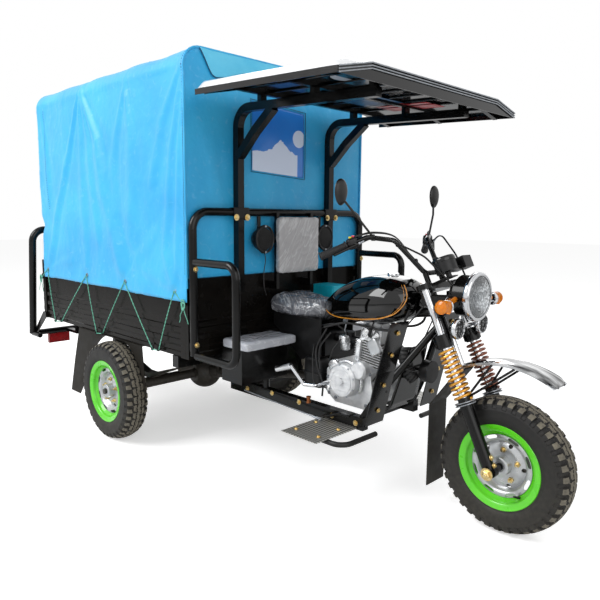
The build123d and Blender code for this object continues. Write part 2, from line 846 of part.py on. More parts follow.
exhaust_radius = 20.0
muffler_radius = 46.0
muffler_y = 300.0
exhaust_points = [
    (1440.0, 30.0, 716.0),
    (1535.0, 60.0, 640.0),
    (1530.0, 110.0, 470.0),
    (1400.0, 258.0, 420.0),
    (1150.0, 300.0, 420.0),
]
muffler_rear = 760.0


def exhaust():
    """The pipe from the head down the left side, and its silencer."""
    pipe = tube(exhaust_points, exhaust_radius, frame_bend / 2) - engine()
    end = exhaust_points[-1]
    can = rod((end[0] + overrun, end[1], end[2]), (muffler_rear, end[1], end[2]), muffler_radius)
    hanger = block(
        (muffler_rear + muffler_radius * 3, muffler_rear + muffler_radius * 4),
        (lower_rail_y - lower_rail_wide / 2, muffler_y),
        (lower_rail_z + lower_rail_high / 2 + seat_gap, lower_rail_z + lower_rail_high / 2 + sheet * 2),
    )
    return Part() + pipe + can + hanger


carb_centre = (1236.0, 0.0, 676.0)
carb_radius = 28.0
air_box = ((1040.0, 1150.0), (-90.0, 90.0), (590.0, 702.0))


def carburettor():
    """Carburettor between the head and the air box."""
    body = Pos(*carb_centre) * Cylinder(carb_radius, carb_radius * 3)
    neck = rod(
        (air_box[0][1] + seat_gap, 0, carb_centre[2]),
        (cylinder_x - cylinder_core, 0, carb_centre[2]),
        carb_radius * 0.8,
    )
    neck = neck - engine()
    return Part() + body + neck + block(*air_box)


# Fuel tank: sections with a flat base and one arc over each side
tank_wall_gap = 10.0
cap_radius = 30.0
cap_height = 16.0
pad_long = 40.0
tank_table = [
    # ahead of the rear axle, half width, base, widest, top
    (1128.0, 60.0, 812.0, 848.0, 880.0),
    (1230.0, 128.0, 800.0, 860.0, 948.0),
    (1420.0, 152.0, 806.0, 880.0, 1008.0),
    (1560.0, 142.0, 822.0, 900.0, 1010.0),
    (1636.0, 82.0, 850.0, 905.0, 972.0),
]
tank_base_share = 0.82
tunnel_half = 30.0
tunnel_top_share = 0.62


def tank_section(x, half, base, widest, top):
    """One section across the tank."""
    edge = half * tank_base_share
    over = [
        Line((x, -edge, base), (x, edge, base)),
        ThreePointArc((x, edge, base), (x, half, widest), (x, 0, top)),
        ThreePointArc((x, 0, top), (x, -half, widest), (x, -edge, base)),
    ]
    return make_face(over)


def fuel_tank():
    """The lofted tank, with a tunnel over the backbone and a round filler cap."""
    body = loft([tank_section(*row) for row in tank_table])
    tunnel = tube(
        [(backbone[0][0] + rail_high, 0, backbone[0][2] + overrun), *backbone[1:3]],
        tunnel_half,
        frame_bend,
    )
    under = block(
        (tank_table[0][0] - overrun, tank_table[-1][0] + overrun),
        (-tunnel_half, tunnel_half),
        (tank_table[0][2] - rail_high, tank_table[2][2] + overrun),
    )
    cap_x = (tank_table[2][0] + tank_table[3][0]) / 2
    cap = Pos(cap_x, 0, tank_table[3][4] - cap_height / 3) * Cylinder(
        cap_radius, cap_height, align=(Align.CENTER, Align.CENTER, Align.MIN)
    )
    spine = tube(backbone, frame_tube + seat_gap, frame_bend)
    run = (backbone[0][2] - backbone[1][2]) / (backbone[0][0] - backbone[1][0])
    pads = []
    for x in (tank_table[1][0] + pad_long, tank_table[3][0] - pad_long):
        z = backbone[1][2] + (x - backbone[1][0]) * run
        pads.append(block((x, x + pad_long), (-tunnel_half, tunnel_half), (z, z + tunnel_half + overrun)))
    return (body - tunnel - under) + cap + [pad - spine for pad in pads]


# Saddle, its base and side panels
saddle_front = 1112.0
saddle_rear = 768.0
saddle_half = 152.0
saddle_low = 778.0
saddle_high = 872.0
saddle_round = 34.0
base_low = 720.0


def saddle():
    """The padded saddle, higher at its back."""
    outline = [
        (saddle_rear, saddle_low),
        (saddle_front, saddle_low),
        (saddle_front, saddle_high - saddle_round),
        ((saddle_rear + saddle_front) / 2, saddle_high - saddle_round / 1.5),
        (saddle_rear + saddle_round * 2, saddle_high),
        (saddle_rear, saddle_high - saddle_round / 2),
    ]
    pad = side_plate(outline, (-saddle_half, saddle_half))
    return fillet(pad.edges().filter_by(GeomType.LINE).group_by(Axis.Z)[-1], saddle_round / 3)


def saddle_base():
    """The tray under the saddle and its two side panels down to the ladder."""
    tray = block(
        (saddle_rear + saddle_round, saddle_front - saddle_round),
        (-saddle_half + saddle_round, saddle_half - saddle_round),
        (base_low + frame_tube * 1.5, saddle_low - seat_gap),
    )
    panel = side_plate(
        [
            (saddle_rear + saddle_round, saddle_low - seat_gap),
            (saddle_front, saddle_low - seat_gap),
            (air_box[0][1], tank_table[1][2] - tank_wall_gap),
            (air_box[0][1], air_box[2][0]),
            (saddle_front - saddle_round * 3, air_box[2][0] - saddle_round),
            (saddle_rear + saddle_round, base_low),
        ],
        (saddle_half - saddle_round, saddle_half - saddle_round + sheet * 2),
    )
    spine = tube(backbone, frame_tube + seat_gap, frame_bend)
    return (tray + panel + other_side(panel)) - spine


# Side seats on tool boxes, against the front of the cargo box
seat_front = 1002.0
seat_inner = 132.0
seat_outer = 482.0
seat_low = 640.0
seat_high = 680.0
seat_round = 12.0
seat_rear_gap = 56.0
box_low = 470.0


def side_cushions():
    """The two flat side seats."""
    pad = block((bed_front + seat_rear_gap, seat_front), (seat_inner, seat_outer), (seat_low, seat_high))
    return both(fillet(pad.edges().filter_by(Axis.Z), seat_round))


def tool_boxes():
    """Sheet boxes that carry the side seats, on brackets from the ladder's front member."""
    rear = bed_front + seat_rear_gap
    body = block(
        (rear, seat_front - seat_round * 4),
        (seat_inner + seat_round * 3, seat_outer - seat_round),
        (box_low, seat_low - seat_gap),
    )
    arm = block(
        (rail_front + seat_gap, rear),
        (rail_y - rail_wide / 2, rail_y + rail_wide / 2),
        (bed_floor_z - rail_high + rail_high / 4, bed_floor_z),
    )
    post = fork_free_post()
    return both(body + arm - post)


def fork_free_post():
    """The room that the seat posts need through the boxes' inner corners."""
    return block(
        (seat_post_x - frame_tube * 2, seat_post_x + frame_tube * 2),
        (0, lower_rail_y + frame_tube * 2),
        (lower_rail_z, backbone[-1][2] + rail_high),
    )


# Cargo box
panel_thick = 28.0
floor_thick = 15.0
rib_depth = 7.0
rib_table = [
    # low and high edge of each pressed rib, above the bed floor's underside
    (24.0, 62.0),
    (86.0, 124.0),
    (148.0, 186.0),
]
rib_slope = 8.0
corner_post = 40.0
corner_proud = 5.0


def ribbed_outline(outer, inner, low, high):
    """The section of a panel with pressed ribs standing out of its outer face."""
    side = 1 if outer > inner else -1
    face = outer - side * rib_depth
    points = [(inner, low), (inner, high), (face, high)]
    for start, stop in reversed(rib_table):
        points += [
            (face, low + stop),
            (outer, low + stop - rib_slope),
            (outer, low + start + rib_slope),
            (face, low + start),
        ]
    points.append((face, low))
    return points


def bed_floor():
    """The flat load floor between the panels."""
    half = bed_width / 2 - panel_thick - seat_gap
    return block((bed_rear, bed_front - panel_thick - seat_gap), (-half, half), (bed_floor_z, bed_floor_z + floor_thick))


def bed_sides():
    """The two fixed side panels, each with its corner posts."""
    outer = bed_width / 2
    panel = cross_plate(
        ribbed_outline(outer, outer - panel_thick, bed_floor_z, bed_top_z),
        (bed_rear, bed_front - panel_thick - seat_gap),
    )
    posts = [
        block((x, x + corner_post), (outer - panel_thick, outer + corner_proud), (bed_floor_z, bed_top_z))
        for x in (bed_rear, bed_front - panel_thick - seat_gap - corner_post)
    ]
    return both(Part() + panel + posts)


def bed_front_panel():
    """The fixed panel behind the rider, ribbed towards the front."""
    half = bed_width / 2 + corner_proud
    outline = ribbed_outline(bed_front, bed_front - panel_thick, bed_floor_z, bed_top_z)
    panel = side_plate(outline, (-half, half))
    posts = [
        block((bed_front - panel_thick, bed_front), (y, y + corner_post), (bed_floor_z, bed_top_z))
        for y in (-half, half - corner_post)
    ]
    return Part() + panel + posts


# Tailgate on its hinge line
gate_thick = 25.0
gate_half = bed_width / 2 - moving_gap
gate_low = 604.0
hinge_x = bed_rear - moving_gap - gate_thick / 2
hinge_z = 590.0
hinge_radius = 8.0
hinge_places = (-430.0, 0.0, 430.0)
hinge_length = 80.0
gate_open = 120.0


def tailgate():
    """The ribbed tailgate with its three hinge barrels."""
    inner = bed_rear - moving_gap
    outline = ribbed_outline(inner - gate_thick, inner, gate_low, bed_top_z)
    panel = side_plate(outline, (-gate_half, gate_half))
    parts = [panel]
    for y in hinge_places:
        parts.append(Pos(hinge_x, y, hinge_z) * Cylinder(hinge_radius, hinge_length, rotation=(90, 0, 0)))
        parts.append(
            block((hinge_x - sheet, hinge_x + sheet), (y - hinge_length / 2, y + hinge_length / 2), (hinge_z, gate_low + sheet))
        )
    pin = [
        Pos(hinge_x, y, hinge_z) * Cylinder(hinge_radius / 2 + running_gap, hinge_length * 2, rotation=(90, 0, 0))
        for y in hinge_places
    ]
    return (Part() + parts) - pin


def gate_hinges():
    """The fixed hinge pins, each between two lugs on the bed's rear edge."""
    parts = []
    for y in hinge_places:
        parts.append(
            Pos(hinge_x, y, hinge_z) * Cylinder(hinge_radius / 2, hinge_length + overrun * 2, rotation=(90, 0, 0))
        )
        for side in (-1, 1):
            middle = y + side * (hinge_length / 2 + overrun / 2 + sheet / 2)
            span = (middle - overrun / 2 + sheet / 2, middle + overrun / 2)
            parts.append(
                block((hinge_x, bed_rear - seat_gap), span, (hinge_z - hinge_radius, hinge_z + hinge_radius))
            )
            parts.append(
                Pos(hinge_x, (span[0] + span[1]) / 2, hinge_z)
                * Cylinder(hinge_radius, span[1] - span[0], rotation=(90, 0, 0))
            )
    return Compound(children=(Part() + parts).solids())


# Guard hoop in front of the cargo box, arm rails, cab posts and roof frame
guard_x = 772.0
guard_tube = 20.0
guard_bend = 84.0
guard_inset = 8.0
guard_half_y = bed_width / 2 - guard_inset
guard_top_z = 1305.0
guard_foot_z = 610.0
post_y = 334.0
post_wide = 38.0
post_bend = 90.0
brace_wide = 38.0
brace_foot_z = 1580.0
brace_top_x = 1030.0
rail_end_x = 1640.0
arm_front = 1095.0
arm_high = 1067.0
arm_low = 612.0
arm_tube = 19.0
arm_bend = 62.0
roof_drop = (roof_rear_z - roof_front_z) / (roof_front - roof_rear)
roof_lift_gap = 30.0
roof_wall = 4.0
roof_crown = 42.0
roof_flange = 24.0
roof_shoulder_share = 0.72
tie_deep = 22.0
tie_wide = 24.0


def front_guard():
    """The bent hoop that stands in front of the cargo box."""
    side = [(guard_x, guard_half_y, guard_foot_z), (guard_x, guard_half_y, guard_top_z)]
    points = [(x, -y, z) for x, y, z in side] + list(reversed(side))
    hoop = tube(points, guard_tube, guard_bend)
    feet = [
        block(
            (bed_front + seat_gap, guard_x),
            (side_y - guard_tube / 2, side_y + guard_tube / 2),
            (z, z + guard_tube * 2),
        )
        for side_y in (-guard_half_y, guard_half_y)
        for z in (guard_foot_z + guard_tube, bed_top_z - guard_tube * 3)
    ]
    return Part() + hoop + feet


def cab_frame():
    """Two posts that bend forward under the roof, with their braces."""
    rail_z = roof_rear_z - roof_lift_gap
    points = [
        (guard_x, post_y, bed_top_z - rail_high),
        (guard_x, post_y, rail_z),
        (rail_end_x, post_y, rail_z - (rail_end_x - guard_x) * roof_drop),
    ]
    post = square_tube(points, post_wide, post_bend)
    foot = block(
        (bed_front + seat_gap, guard_x),
        (post_y - post_wide / 2, post_y + post_wide / 2),
        (bed_top_z - rail_high, bed_top_z - rail_high / 2),
    )
    brace = square_tube(
        [
            (guard_x + post_wide / 3, post_y, brace_foot_z),
            (
                (guard_x + brace_top_x) / 2,
                post_y,
                (brace_foot_z + rail_z) / 2 - (brace_top_x - guard_x) / 2 * roof_drop,
            ),
            (brace_top_x, post_y, rail_z - (brace_top_x - guard_x) * roof_drop - post_wide / 3),
        ],
        brace_wide,
        brace_wide * 2,
    )
    guard_hole = rod(
        (guard_x, 0, guard_top_z), (guard_x, guard_half_y - guard_bend, guard_top_z), guard_tube + seat_gap
    )
    side = (post + foot + brace) - guard_hole
    return Part() + side + other_side(side)


def roof_ties():
    """Crowned ribs that follow the roof skin, each on two stubs over the posts' front runs."""
    reach = roof_width / 2 - roof_wall - seat_gap
    inner = roof_width / 2 * roof_shoulder_share
    rail_top = roof_rear_z - roof_lift_gap + post_wide / 2 + seat_gap
    ties = []
    for x in (roof_rear + post_wide * 2, (roof_rear + roof_front) / 2, rail_end_x - tie_wide):
        skin = roof_rear_z - (x + tie_wide / 2 - roof_rear) * roof_drop - roof_wall - seat_gap
        rib = cross_plate(
            [
                (-reach, skin - tie_deep),
                (-reach, skin),
                (-inner, skin + roof_crown),
                (inner, skin + roof_crown),
                (reach, skin),
                (reach, skin - tie_deep),
                (inner, skin + roof_crown - tie_deep),
                (-inner, skin + roof_crown - tie_deep),
            ],
            (x - tie_wide / 2, x + tie_wide / 2),
        )
        foot = rail_top - (x - tie_wide / 2 - guard_x) * roof_drop
        stub = block(
            (x - tie_wide / 2, x + tie_wide / 2),
            (post_y - post_wide / 2, post_y + post_wide / 2),
            (foot, skin + roof_crown - tie_deep / 2),
        )
        ties.append(rib + stub + other_side(stub))
    return Compound(children=(Part() + ties).solids())


def cab_roof():
    """The crowned roof skin with turned-down edges, sloping to the front."""
    half = roof_width / 2
    inner = half * roof_shoulder_share
    low = roof_rear_z - roof_flange
    outline = [
        (-half, low),
        (-half, roof_rear_z),
        (-inner, roof_rear_z + roof_crown),
        (inner, roof_rear_z + roof_crown),
        (half, roof_rear_z),
        (half, low),
        (half - roof_wall, low),
        (half - roof_wall, roof_rear_z - roof_wall / 2),
        (inner, roof_rear_z + roof_crown - roof_wall),
        (-inner, roof_rear_z + roof_crown - roof_wall),
        (roof_wall - half, roof_rear_z - roof_wall / 2),
        (roof_wall - half, low),
    ]
    face = make_face(Polyline(*[(roof_rear, y, z) for y, z in outline], close=True))
    run = Vector(roof_front - roof_rear, 0, roof_front_z - roof_rear_z)
    skin = extrude(face, amount=run.length, dir=run)
    lip = cross_plate(
        [
            (-half, roof_front_z - roof_flange),
            (-half, roof_front_z),
            (-inner, roof_front_z + roof_crown),
            (inner, roof_front_z + roof_crown),
            (half, roof_front_z),
            (half, roof_front_z - roof_flange),
        ],
        (roof_front - roof_wall, roof_front),
    )
    return skin + lip



def arm_rails():
    """The C-shaped rails that guard the side seats."""
    rail = tube(
        [
            (guard_x + guard_tube + seat_gap, guard_half_y, arm_high),
            (arm_front, guard_half_y, arm_high),
            (arm_front, guard_half_y, arm_low),
            (guard_x + guard_tube + seat_gap, guard_half_y, arm_low),
        ],
        arm_tube,
        arm_bend,
    )
    return both(rail)


# Backrest and speakers on the guard hoop
rest_low = 985.0
rest_high = 1285.0
rest_middle = 26.0
rest_width = 308.0
rest_inner = rest_middle - rest_width / 2
rest_outer = rest_middle + rest_width / 2
rest_thick = 38.0
rest_round = 16.0
bar_wide = 20.0
speaker_z = 1168.0
speaker_y = (-206.0, 250.0)
speaker_radius = 60.0
speaker_depth = 46.0
speaker_wall = 4.0


def backrest():
    """The padded backrest."""
    front = guard_x + guard_tube + bar_wide
    pad = block((front + seat_gap, front + rest_thick), (rest_inner, rest_outer), (rest_low, rest_high))
    return fillet(pad.edges().filter_by(Axis.X), rest_round)


def backrest_bars():
    """Two flat bars behind the backrest, from the guard hoop down to the front panel."""
    back = guard_x + guard_tube + seat_gap
    bars = [
        block((back, back + bar_wide - seat_gap), (y, y + bar_wide), (bed_top_z - rail_high, guard_top_z))
        for y in (rest_inner + rest_round, rest_outer - rest_round - bar_wide)
    ]
    feet = [
        block((bed_front + seat_gap, back + bar_wide / 2), (y, y + bar_wide), (bed_top_z - rail_high, bed_top_z - rail_high / 2))
        for y in (rest_inner + rest_round, rest_outer - rest_round - bar_wide)
    ]
    return Compound(children=(Part() + bars + feet).solids())


def speakers():
    """Round speakers hung from the hoop's top rail beside the backrest."""
    parts = []
    for y in speaker_y:
        cone = Polyline(
            (guard_x, 0),
            (guard_x, speaker_radius * 0.8),
            (guard_x + speaker_depth / 2, speaker_radius),
            (guard_x + speaker_depth, speaker_radius),
            (guard_x + speaker_depth, speaker_radius - speaker_wall * 2),
            (guard_x + speaker_depth - speaker_wall * 2, speaker_radius - speaker_wall * 3),
            (guard_x + speaker_depth - speaker_wall * 4, speaker_radius / 3),
            (guard_x + speaker_depth - speaker_wall * 2, 0),
            close=True,
        )
        parts.append(Pos(0, y, speaker_z) * revolve(make_face(cone), Axis.X))
        parts.append(
            block(
                (guard_x + seat_gap, guard_x + speaker_wall * 2),
                (y - bar_wide / 2, y + bar_wide / 2),
                (speaker_z + speaker_radius / 2, guard_top_z - guard_tube - seat_gap),
            )
        )
    return Compound(children=(Part() + parts).solids())


# Small water tank on the front panel, left of the saddle
jug_x = (790.0, 950.0)
jug_y = (186.0, 316.0)
jug_z = (700.0, 905.0)
jug_round = 14.0


def water_tank():
    """A moulded tank on a shelf bracket from the front panel."""
    body = fillet(block(jug_x, jug_y, jug_z).edges().filter_by(Axis.Z), jug_round)
    shelf = block(
        (bed_front + seat_gap, jug_x[1]),
        (jug_y[0] + jug_round, jug_y[1] - jug_round),
        (jug_z[0] - sheet * 2, jug_z[0]),
    )
    return body + shelf


# Tarpaulin over its bows
tarp_stand = 11.0
tarp_half = bed_width / 2 + corner_proud + tarp_stand
tarp_skin = 4.0
tarp_shoulder = 96.0
tarp_return = 150.0
tarp_roll = 150.0
tarp_front_low = 986.0
tarp_rear_gap = 4.0
tarp_front_gap = 6.5
tarp_rear = bed_rear - tarp_rear_gap
tarp_front = bed_front + tarp_front_gap
bow_tube = 12.0
bow_count = 5
bow_first = 30.0
bow_foot_z = 760.0
purlin_places = (-330.0, 0.0, 330.0)


def tarp_outline(grow):
    """The tarpaulin's section, drawn in by a given amount."""
    half = tarp_half - grow
    top = tarp_top_z - grow
    bend = tarp_shoulder - grow
    low = tarp_hem_z
    mid = bend * sin(radians(45))
    return [
        Line((-half, low), (-half, top - bend)),
        ThreePointArc((-half, top - bend), (bend - half - mid, top - bend + mid), (bend - half, top)),
        Line((bend - half, top), (half - bend, top)),
        ThreePointArc((half - bend, top), (half - bend + mid, top - bend + mid), (half, top - bend)),
        Line((half, top - bend), (half, low)),
        Line((half, low), (-half, low)),
    ]


def tarp_solid(grow, rear, front):
    """The filled section between two places along the tricycle."""
    face = Pos(rear, 0, 0) * (Plane.YZ * make_face(tarp_outline(grow)))
    return extrude(face, amount=front - rear, dir=(1, 0, 0))




def tarp():
    """The cover: both sides, roof and front in one skin, open at the rear and below."""
    outside = tarp_solid(0, tarp_rear, tarp_front)
    inside = tarp_solid(tarp_skin, tarp_rear + tarp_skin, tarp_front - tarp_skin)
    below = block(
        (tarp_rear - overrun, tarp_front + overrun),
        (-tarp_half + tarp_skin, tarp_half - tarp_skin),
        (tarp_hem_z - overrun, tarp_front_low),
    )
    gate = block(
        (tarp_rear - overrun, tarp_rear + tarp_skin + overrun),
        (-tarp_half + tarp_return, tarp_half - tarp_return),
        (tarp_hem_z - overrun, tarp_top_z - tarp_roll),
    )
    return outside - inside - below - gate


def tarp_bows():
    """The bows that stand inside the side panels and the purlins that join them."""
    half = bed_width / 2 - panel_thick - bow_tube - seat_gap
    top = tarp_top_z - tarp_skin - bow_tube - seat_gap
    parts = []
    rear = bed_rear + bow_first
    front = bed_front - panel_thick - bow_tube - seat_gap
    for i in range(bow_count):
        x = rear + (front - rear) * i / (bow_count - 1)
        side = [(x, half, bow_foot_z), (x, half, top)]
        points = [(px, -py, pz) for px, py, pz in side] + list(reversed(side))
        parts.append(tube(points, bow_tube, tarp_shoulder))
    for y in purlin_places:
        parts.append(rod((rear, y, top), (front, y, top), bow_tube * 0.8))
    return Part() + parts


# Rear hoop and bumper behind the tailgate
hoop_stand = 23.0
hoop_y = bed_width / 2 + corner_proud + hoop_stand
hoop_tube = 24.0
hoop_bend = 80.0
hoop_top = (-1066.0, 1182.0)
hoop_foot = (-1152.0, 452.0)
bumper_tube = 20.0
buffer_radius = 18.0
buffer_length = 44.0


def rear_hoop():
    """The leaning hoop, its foot bar and the braces back to the ladder."""
    side = [(hoop_foot[0], hoop_y, hoop_foot[1]), (hoop_top[0], hoop_y, hoop_top[1])]
    points = [(x, -y, z) for x, y, z in side] + list(reversed(side))
    hoop = tube(points, hoop_tube, hoop_bend)
    bar = rod((hoop_foot[0], -hoop_y, hoop_foot[1]), (hoop_foot[0], hoop_y, hoop_foot[1]), bumper_tube)
    outer = bed_width / 2 + corner_proud + seat_gap
    arm = side_plate(
        [
            (hoop_foot[0], hoop_foot[1] - bumper_tube),
            (bed_rear + corner_post, bed_floor_z + corner_post / 4),
            (bed_rear + corner_post, bed_floor_z + corner_post),
            (bed_rear, bed_floor_z + corner_post),
            (hoop_foot[0], hoop_foot[1] + bumper_tube),
        ],
        (outer, outer + sheet * 3),
    )
    foot = rod(
        (hoop_foot[0], hoop_y, hoop_foot[1]),
        (hoop_foot[0] + rail_high * 1.6, hoop_y, hoop_foot[1]),
        bumper_tube * 0.8,
    )
    beam_x = bed_rear + cross_wide / 2
    stay = block(
        (hoop_foot[0], beam_x),
        (rail_y - rail_wide / 2, rail_y + rail_wide / 2),
        (hoop_foot[1] - bumper_tube / 2, hoop_foot[1] + bumper_tube / 2),
    )
    hanger = block(
        (beam_x - cross_wide / 2, beam_x),
        (rail_y - rail_wide / 2, rail_y + rail_wide / 2),
        (hoop_foot[1] - bumper_tube / 2, bed_floor_z - rail_high - seat_gap),
    )
    side_parts = [arm, foot, stay, hanger]
    return Part() + hoop + bar + side_parts + [other_side(p) for p in side_parts]


tail_lamp_size = (26.0, 150.0, 66.0)
tail_lamp_y = 470.0


def tail_lamps():
    """Lamp blocks on the foot bar."""
    z = hoop_foot[1] - bumper_tube - seat_gap - tail_lamp_size[2] / 2
    lamp = Pos(hoop_foot[0], tail_lamp_y, z) * Box(*tail_lamp_size)
    return both(lamp)


# Rear fenders: a skirt with a round arch and a flap behind each wheel
skirt_wall = 3.0
arch_radius = 318.0
skirt_table = [
    # ahead of the rear axle, height
    (-458.0, 582.0),
    (-534.0, 380.0),
    (-610.0, 150.0),
    (-480.0, 150.0),
    (-360.0, 300.0),
    (330.0, 300.0),
    (300.0, 582.0),
]


def rear_fenders():
    """Side skirts below the box, cut round the wheels, and the rubber flaps behind them."""
    outer = bed_width / 2 + corner_proud
    outline = [(rear_axle_x + x, z) for x, z in skirt_table]
    plate = side_plate(outline, (outer - skirt_wall, outer))
    arch = Pos(rear_axle_x, outer, tyre_radius) * Cylinder(arch_radius, rail_high, rotation=(90, 0, 0))
    top = block(
        (outline[0][0], outline[-1][0]),
        (rail_y + rail_wide / 2 + seat_gap, outer),
        (bed_floor_z - skirt_wall - seat_gap, bed_floor_z - seat_gap),
    )
    wheel_room = Pos(rear_axle_x, outer, tyre_radius) * Cylinder(
        tyre_radius + moving_gap * 2, rail_high * 5, rotation=(90, 0, 0)
    )
    return both((plate - arch) + (top - wheel_room))


# Rear axle, springs and shaft
axle_tube = 32.0
diff_radius = 108.0
diff_half = 92.0
spring_y = 400.0
spring_wide = 55.0
leaf_thick = 8.0
leaf_table = [1.0, 0.82, 0.64, 0.46]
spring_eye_x = 370.0
spring_eye_z = 441.0
eye_radius = 18.0
shaft_radius = 22.0
shaft_front = (crank_x - cover_radius, 0, crank_z - cover_radius / 3)
rear_hub_gap = 8.0
saddle_clamp = 70.0


def shaft_place(reach):
    """A place on the line from the middle of the axle to the gearbox."""
    run = Vector(*shaft_front) - Vector(rear_axle_x, 0, tyre_radius)
    return tuple(Vector(rear_axle_x, 0, tyre_radius) + run.normalized() * reach)


def rear_axle():
    """Axle tube, differential, back plates and the stub ends that carry the wheels."""
    inner_reach = rear_wheel_y - hub_half - rear_hub_gap
    tube_body = Pos(rear_axle_x, 0, tyre_radius) * Cylinder(axle_tube, inner_reach * 2, rotation=(90, 0, 0))
    case = Sphere(diff_radius) & Box(diff_radius * 2, diff_half * 2, diff_radius * 2)
    case = Pos(rear_axle_x, 0, tyre_radius) * case
    nose = rod((rear_axle_x, 0, tyre_radius), shaft_place(diff_radius + saddle_clamp), axle_tube * 1.3)
    stub = Pos(rear_axle_x, 0, tyre_radius) * Cylinder(
        wheel_axle_radius, (rear_wheel_y + hub_half + axle_nut_length) * 2, rotation=(90, 0, 0)
    )
    nut = Pos(rear_axle_x, rear_wheel_y + hub_half + seat_gap + axle_nut_length / 2, tyre_radius) * Cylinder(
        axle_nut_radius, axle_nut_length, rotation=(90, 0, 0)
    )
    return Part() + tube_body + case + nose + stub + nut + other_side(nut)


def leaf_springs():
    """Two leaf packs with eyes, shackles, axle clamps and their hangers under the rails."""
    parts = []
    seat_z = tyre_radius + axle_tube + seat_gap
    for i, share in enumerate(leaf_table):
        reach = spring_eye_x * share
        rise = (spring_eye_z - seat_z) * share
        low = seat_z + leaf_thick * (len(leaf_table) - 1 - i)
        half_leaf = side_plate(
            [
                (-saddle_clamp / 2, low),
                (saddle_clamp / 2, low),
                (reach, low + rise - leaf_thick * (len(leaf_table) - 1 - i)),
                (reach, low + rise + leaf_thick - leaf_thick * (len(leaf_table) - 1 - i)),
                (saddle_clamp / 2, low + leaf_thick),
                (-saddle_clamp / 2, low + leaf_thick),
                (-reach, low + rise + leaf_thick - leaf_thick * (len(leaf_table) - 1 - i)),
                (-reach, low + rise - leaf_thick * (len(leaf_table) - 1 - i)),
            ],
            (spring_y - spring_wide / 2, spring_y + spring_wide / 2),
        )
        parts.append(half_leaf)
    for x in (-spring_eye_x, spring_eye_x):
        parts.append(
            Pos(x, spring_y, spring_eye_z) * Cylinder(eye_radius, spring_wide * 1.5, rotation=(90, 0, 0))
        )
        parts.append(
            block(
                (x - eye_radius, x + eye_radius),
                (spring_y - spring_wide * 0.75, spring_y + spring_wide * 0.75),
                (spring_eye_z, bed_floor_z - rail_high - seat_gap),
            )
        )
    return both(Pos(rear_axle_x, 0, 0) * (Part() + parts))


def drive_shaft():
    """The shaft from the gearbox back to the differential."""
    shaft = rod(shaft_place(diff_radius + saddle_clamp + seat_gap), shaft_front, shaft_radius)
    return shaft - engine()


# Leg shields, foot plates and kick lever
shield_inner = 150.0
shield_outer = 280.0
shield_wall = 5.0
shield_table = [
    # ahead of the rear axle, height
    (1690.0, 846.0),
    (1625.0, 620.0),
    (1566.0, 372.0),
]
plate_x = (1256.0, 1470.0)
plate_y = (182.0, 490.0)
plate_z = 330.0
plate_thick = 5.0
loop_tube = 12.0
kick_points = [
    (1222.0, 118.3, 480.0),
    (1222.0, 236.0, 480.0),
    (1160.0, 250.0, 476.0),
    (1080.0, 262.0, 556.0),
]
kick_radius = 9.0
kick_pad_end = (1004.0, 288.0, 532.0)


def leg_shields():
    """A bent dark sheet in front of each leg, on a stay from the down tube."""
    front = list(shield_table)
    back = [(x - shield_wall, z) for x, z in reversed(front)]
    sheet_body = side_plate(front + back, (shield_inner, shield_outer))
    stay_z = down_knee[2] + frame_tube
    stay = rod(
        down_tube_place(stay_z),
        (shield_table[1][0] - overrun * 2.2, shield_inner + overrun * 3, stay_z),
        lever_radius,
    )
    return both((sheet_body + stay) - front_frame())


def foot_plates():
    """The chequered foot plates on their arms, with the guard loop in front."""
    plate = block(plate_x, plate_y, (plate_z - plate_thick, plate_z))
    outer = lower_rail_y + lower_rail_wide / 2 + seat_gap
    plate = plate - block(
        (plate_x[0] - overrun, plate_x[1] + overrun), (0, outer), (0, plate_z + overrun)
    )
    arm_z = plate_z - plate_thick - loop_tube
    loop = tube(
        [
            (plate_x[0] + rail_high / 2, outer, arm_z),
            (plate_x[0] + rail_high / 2, plate_y[1] - rail_high, arm_z),
            (plate_x[1] + rail_high, plate_y[1] - rail_high, arm_z),
            (plate_x[1] + rail_high, outer - lower_rail_wide, arm_z),
        ],
        loop_tube,
        frame_bend,
    )
    rail_room = block(
        (lower_rail_rear, lower_rail_front + seat_gap), (0, outer), (0, plate_z + rail_high)
    )
    return both((plate + loop) - rail_room)


def kick_lever():
    """The starter lever on the right of the engine, with its rubber pad."""
    points = [(x, -y, z) for x, y, z in kick_points]
    arm = tube(points, kick_radius, kick_radius * 2)
    x, y, z = kick_pad_end
    pad = rod(points[-1], (x, -y, z), kick_radius * 1.8)
    return arm + pad


horn_centre = (1700.0, 0.0, 600.0)
horn_radius = 50.0
horn_depth = 42.0
horn_stay = 7.0


def horn():
    """The round ribbed horn on the down tubes."""
    x, y, z = horn_centre
    body = rod((x - horn_depth / 2, y, z), (x + horn_depth / 2, y, z), horn_radius)
    left = down_tube_place(z)
    bridge = rod((left[0], -left[1], z), (left[0], left[1], z), horn_stay)
    stem = rod((left[0], y, z), (x, y, z), horn_stay)
    return (body + bridge + stem) - front_frame()


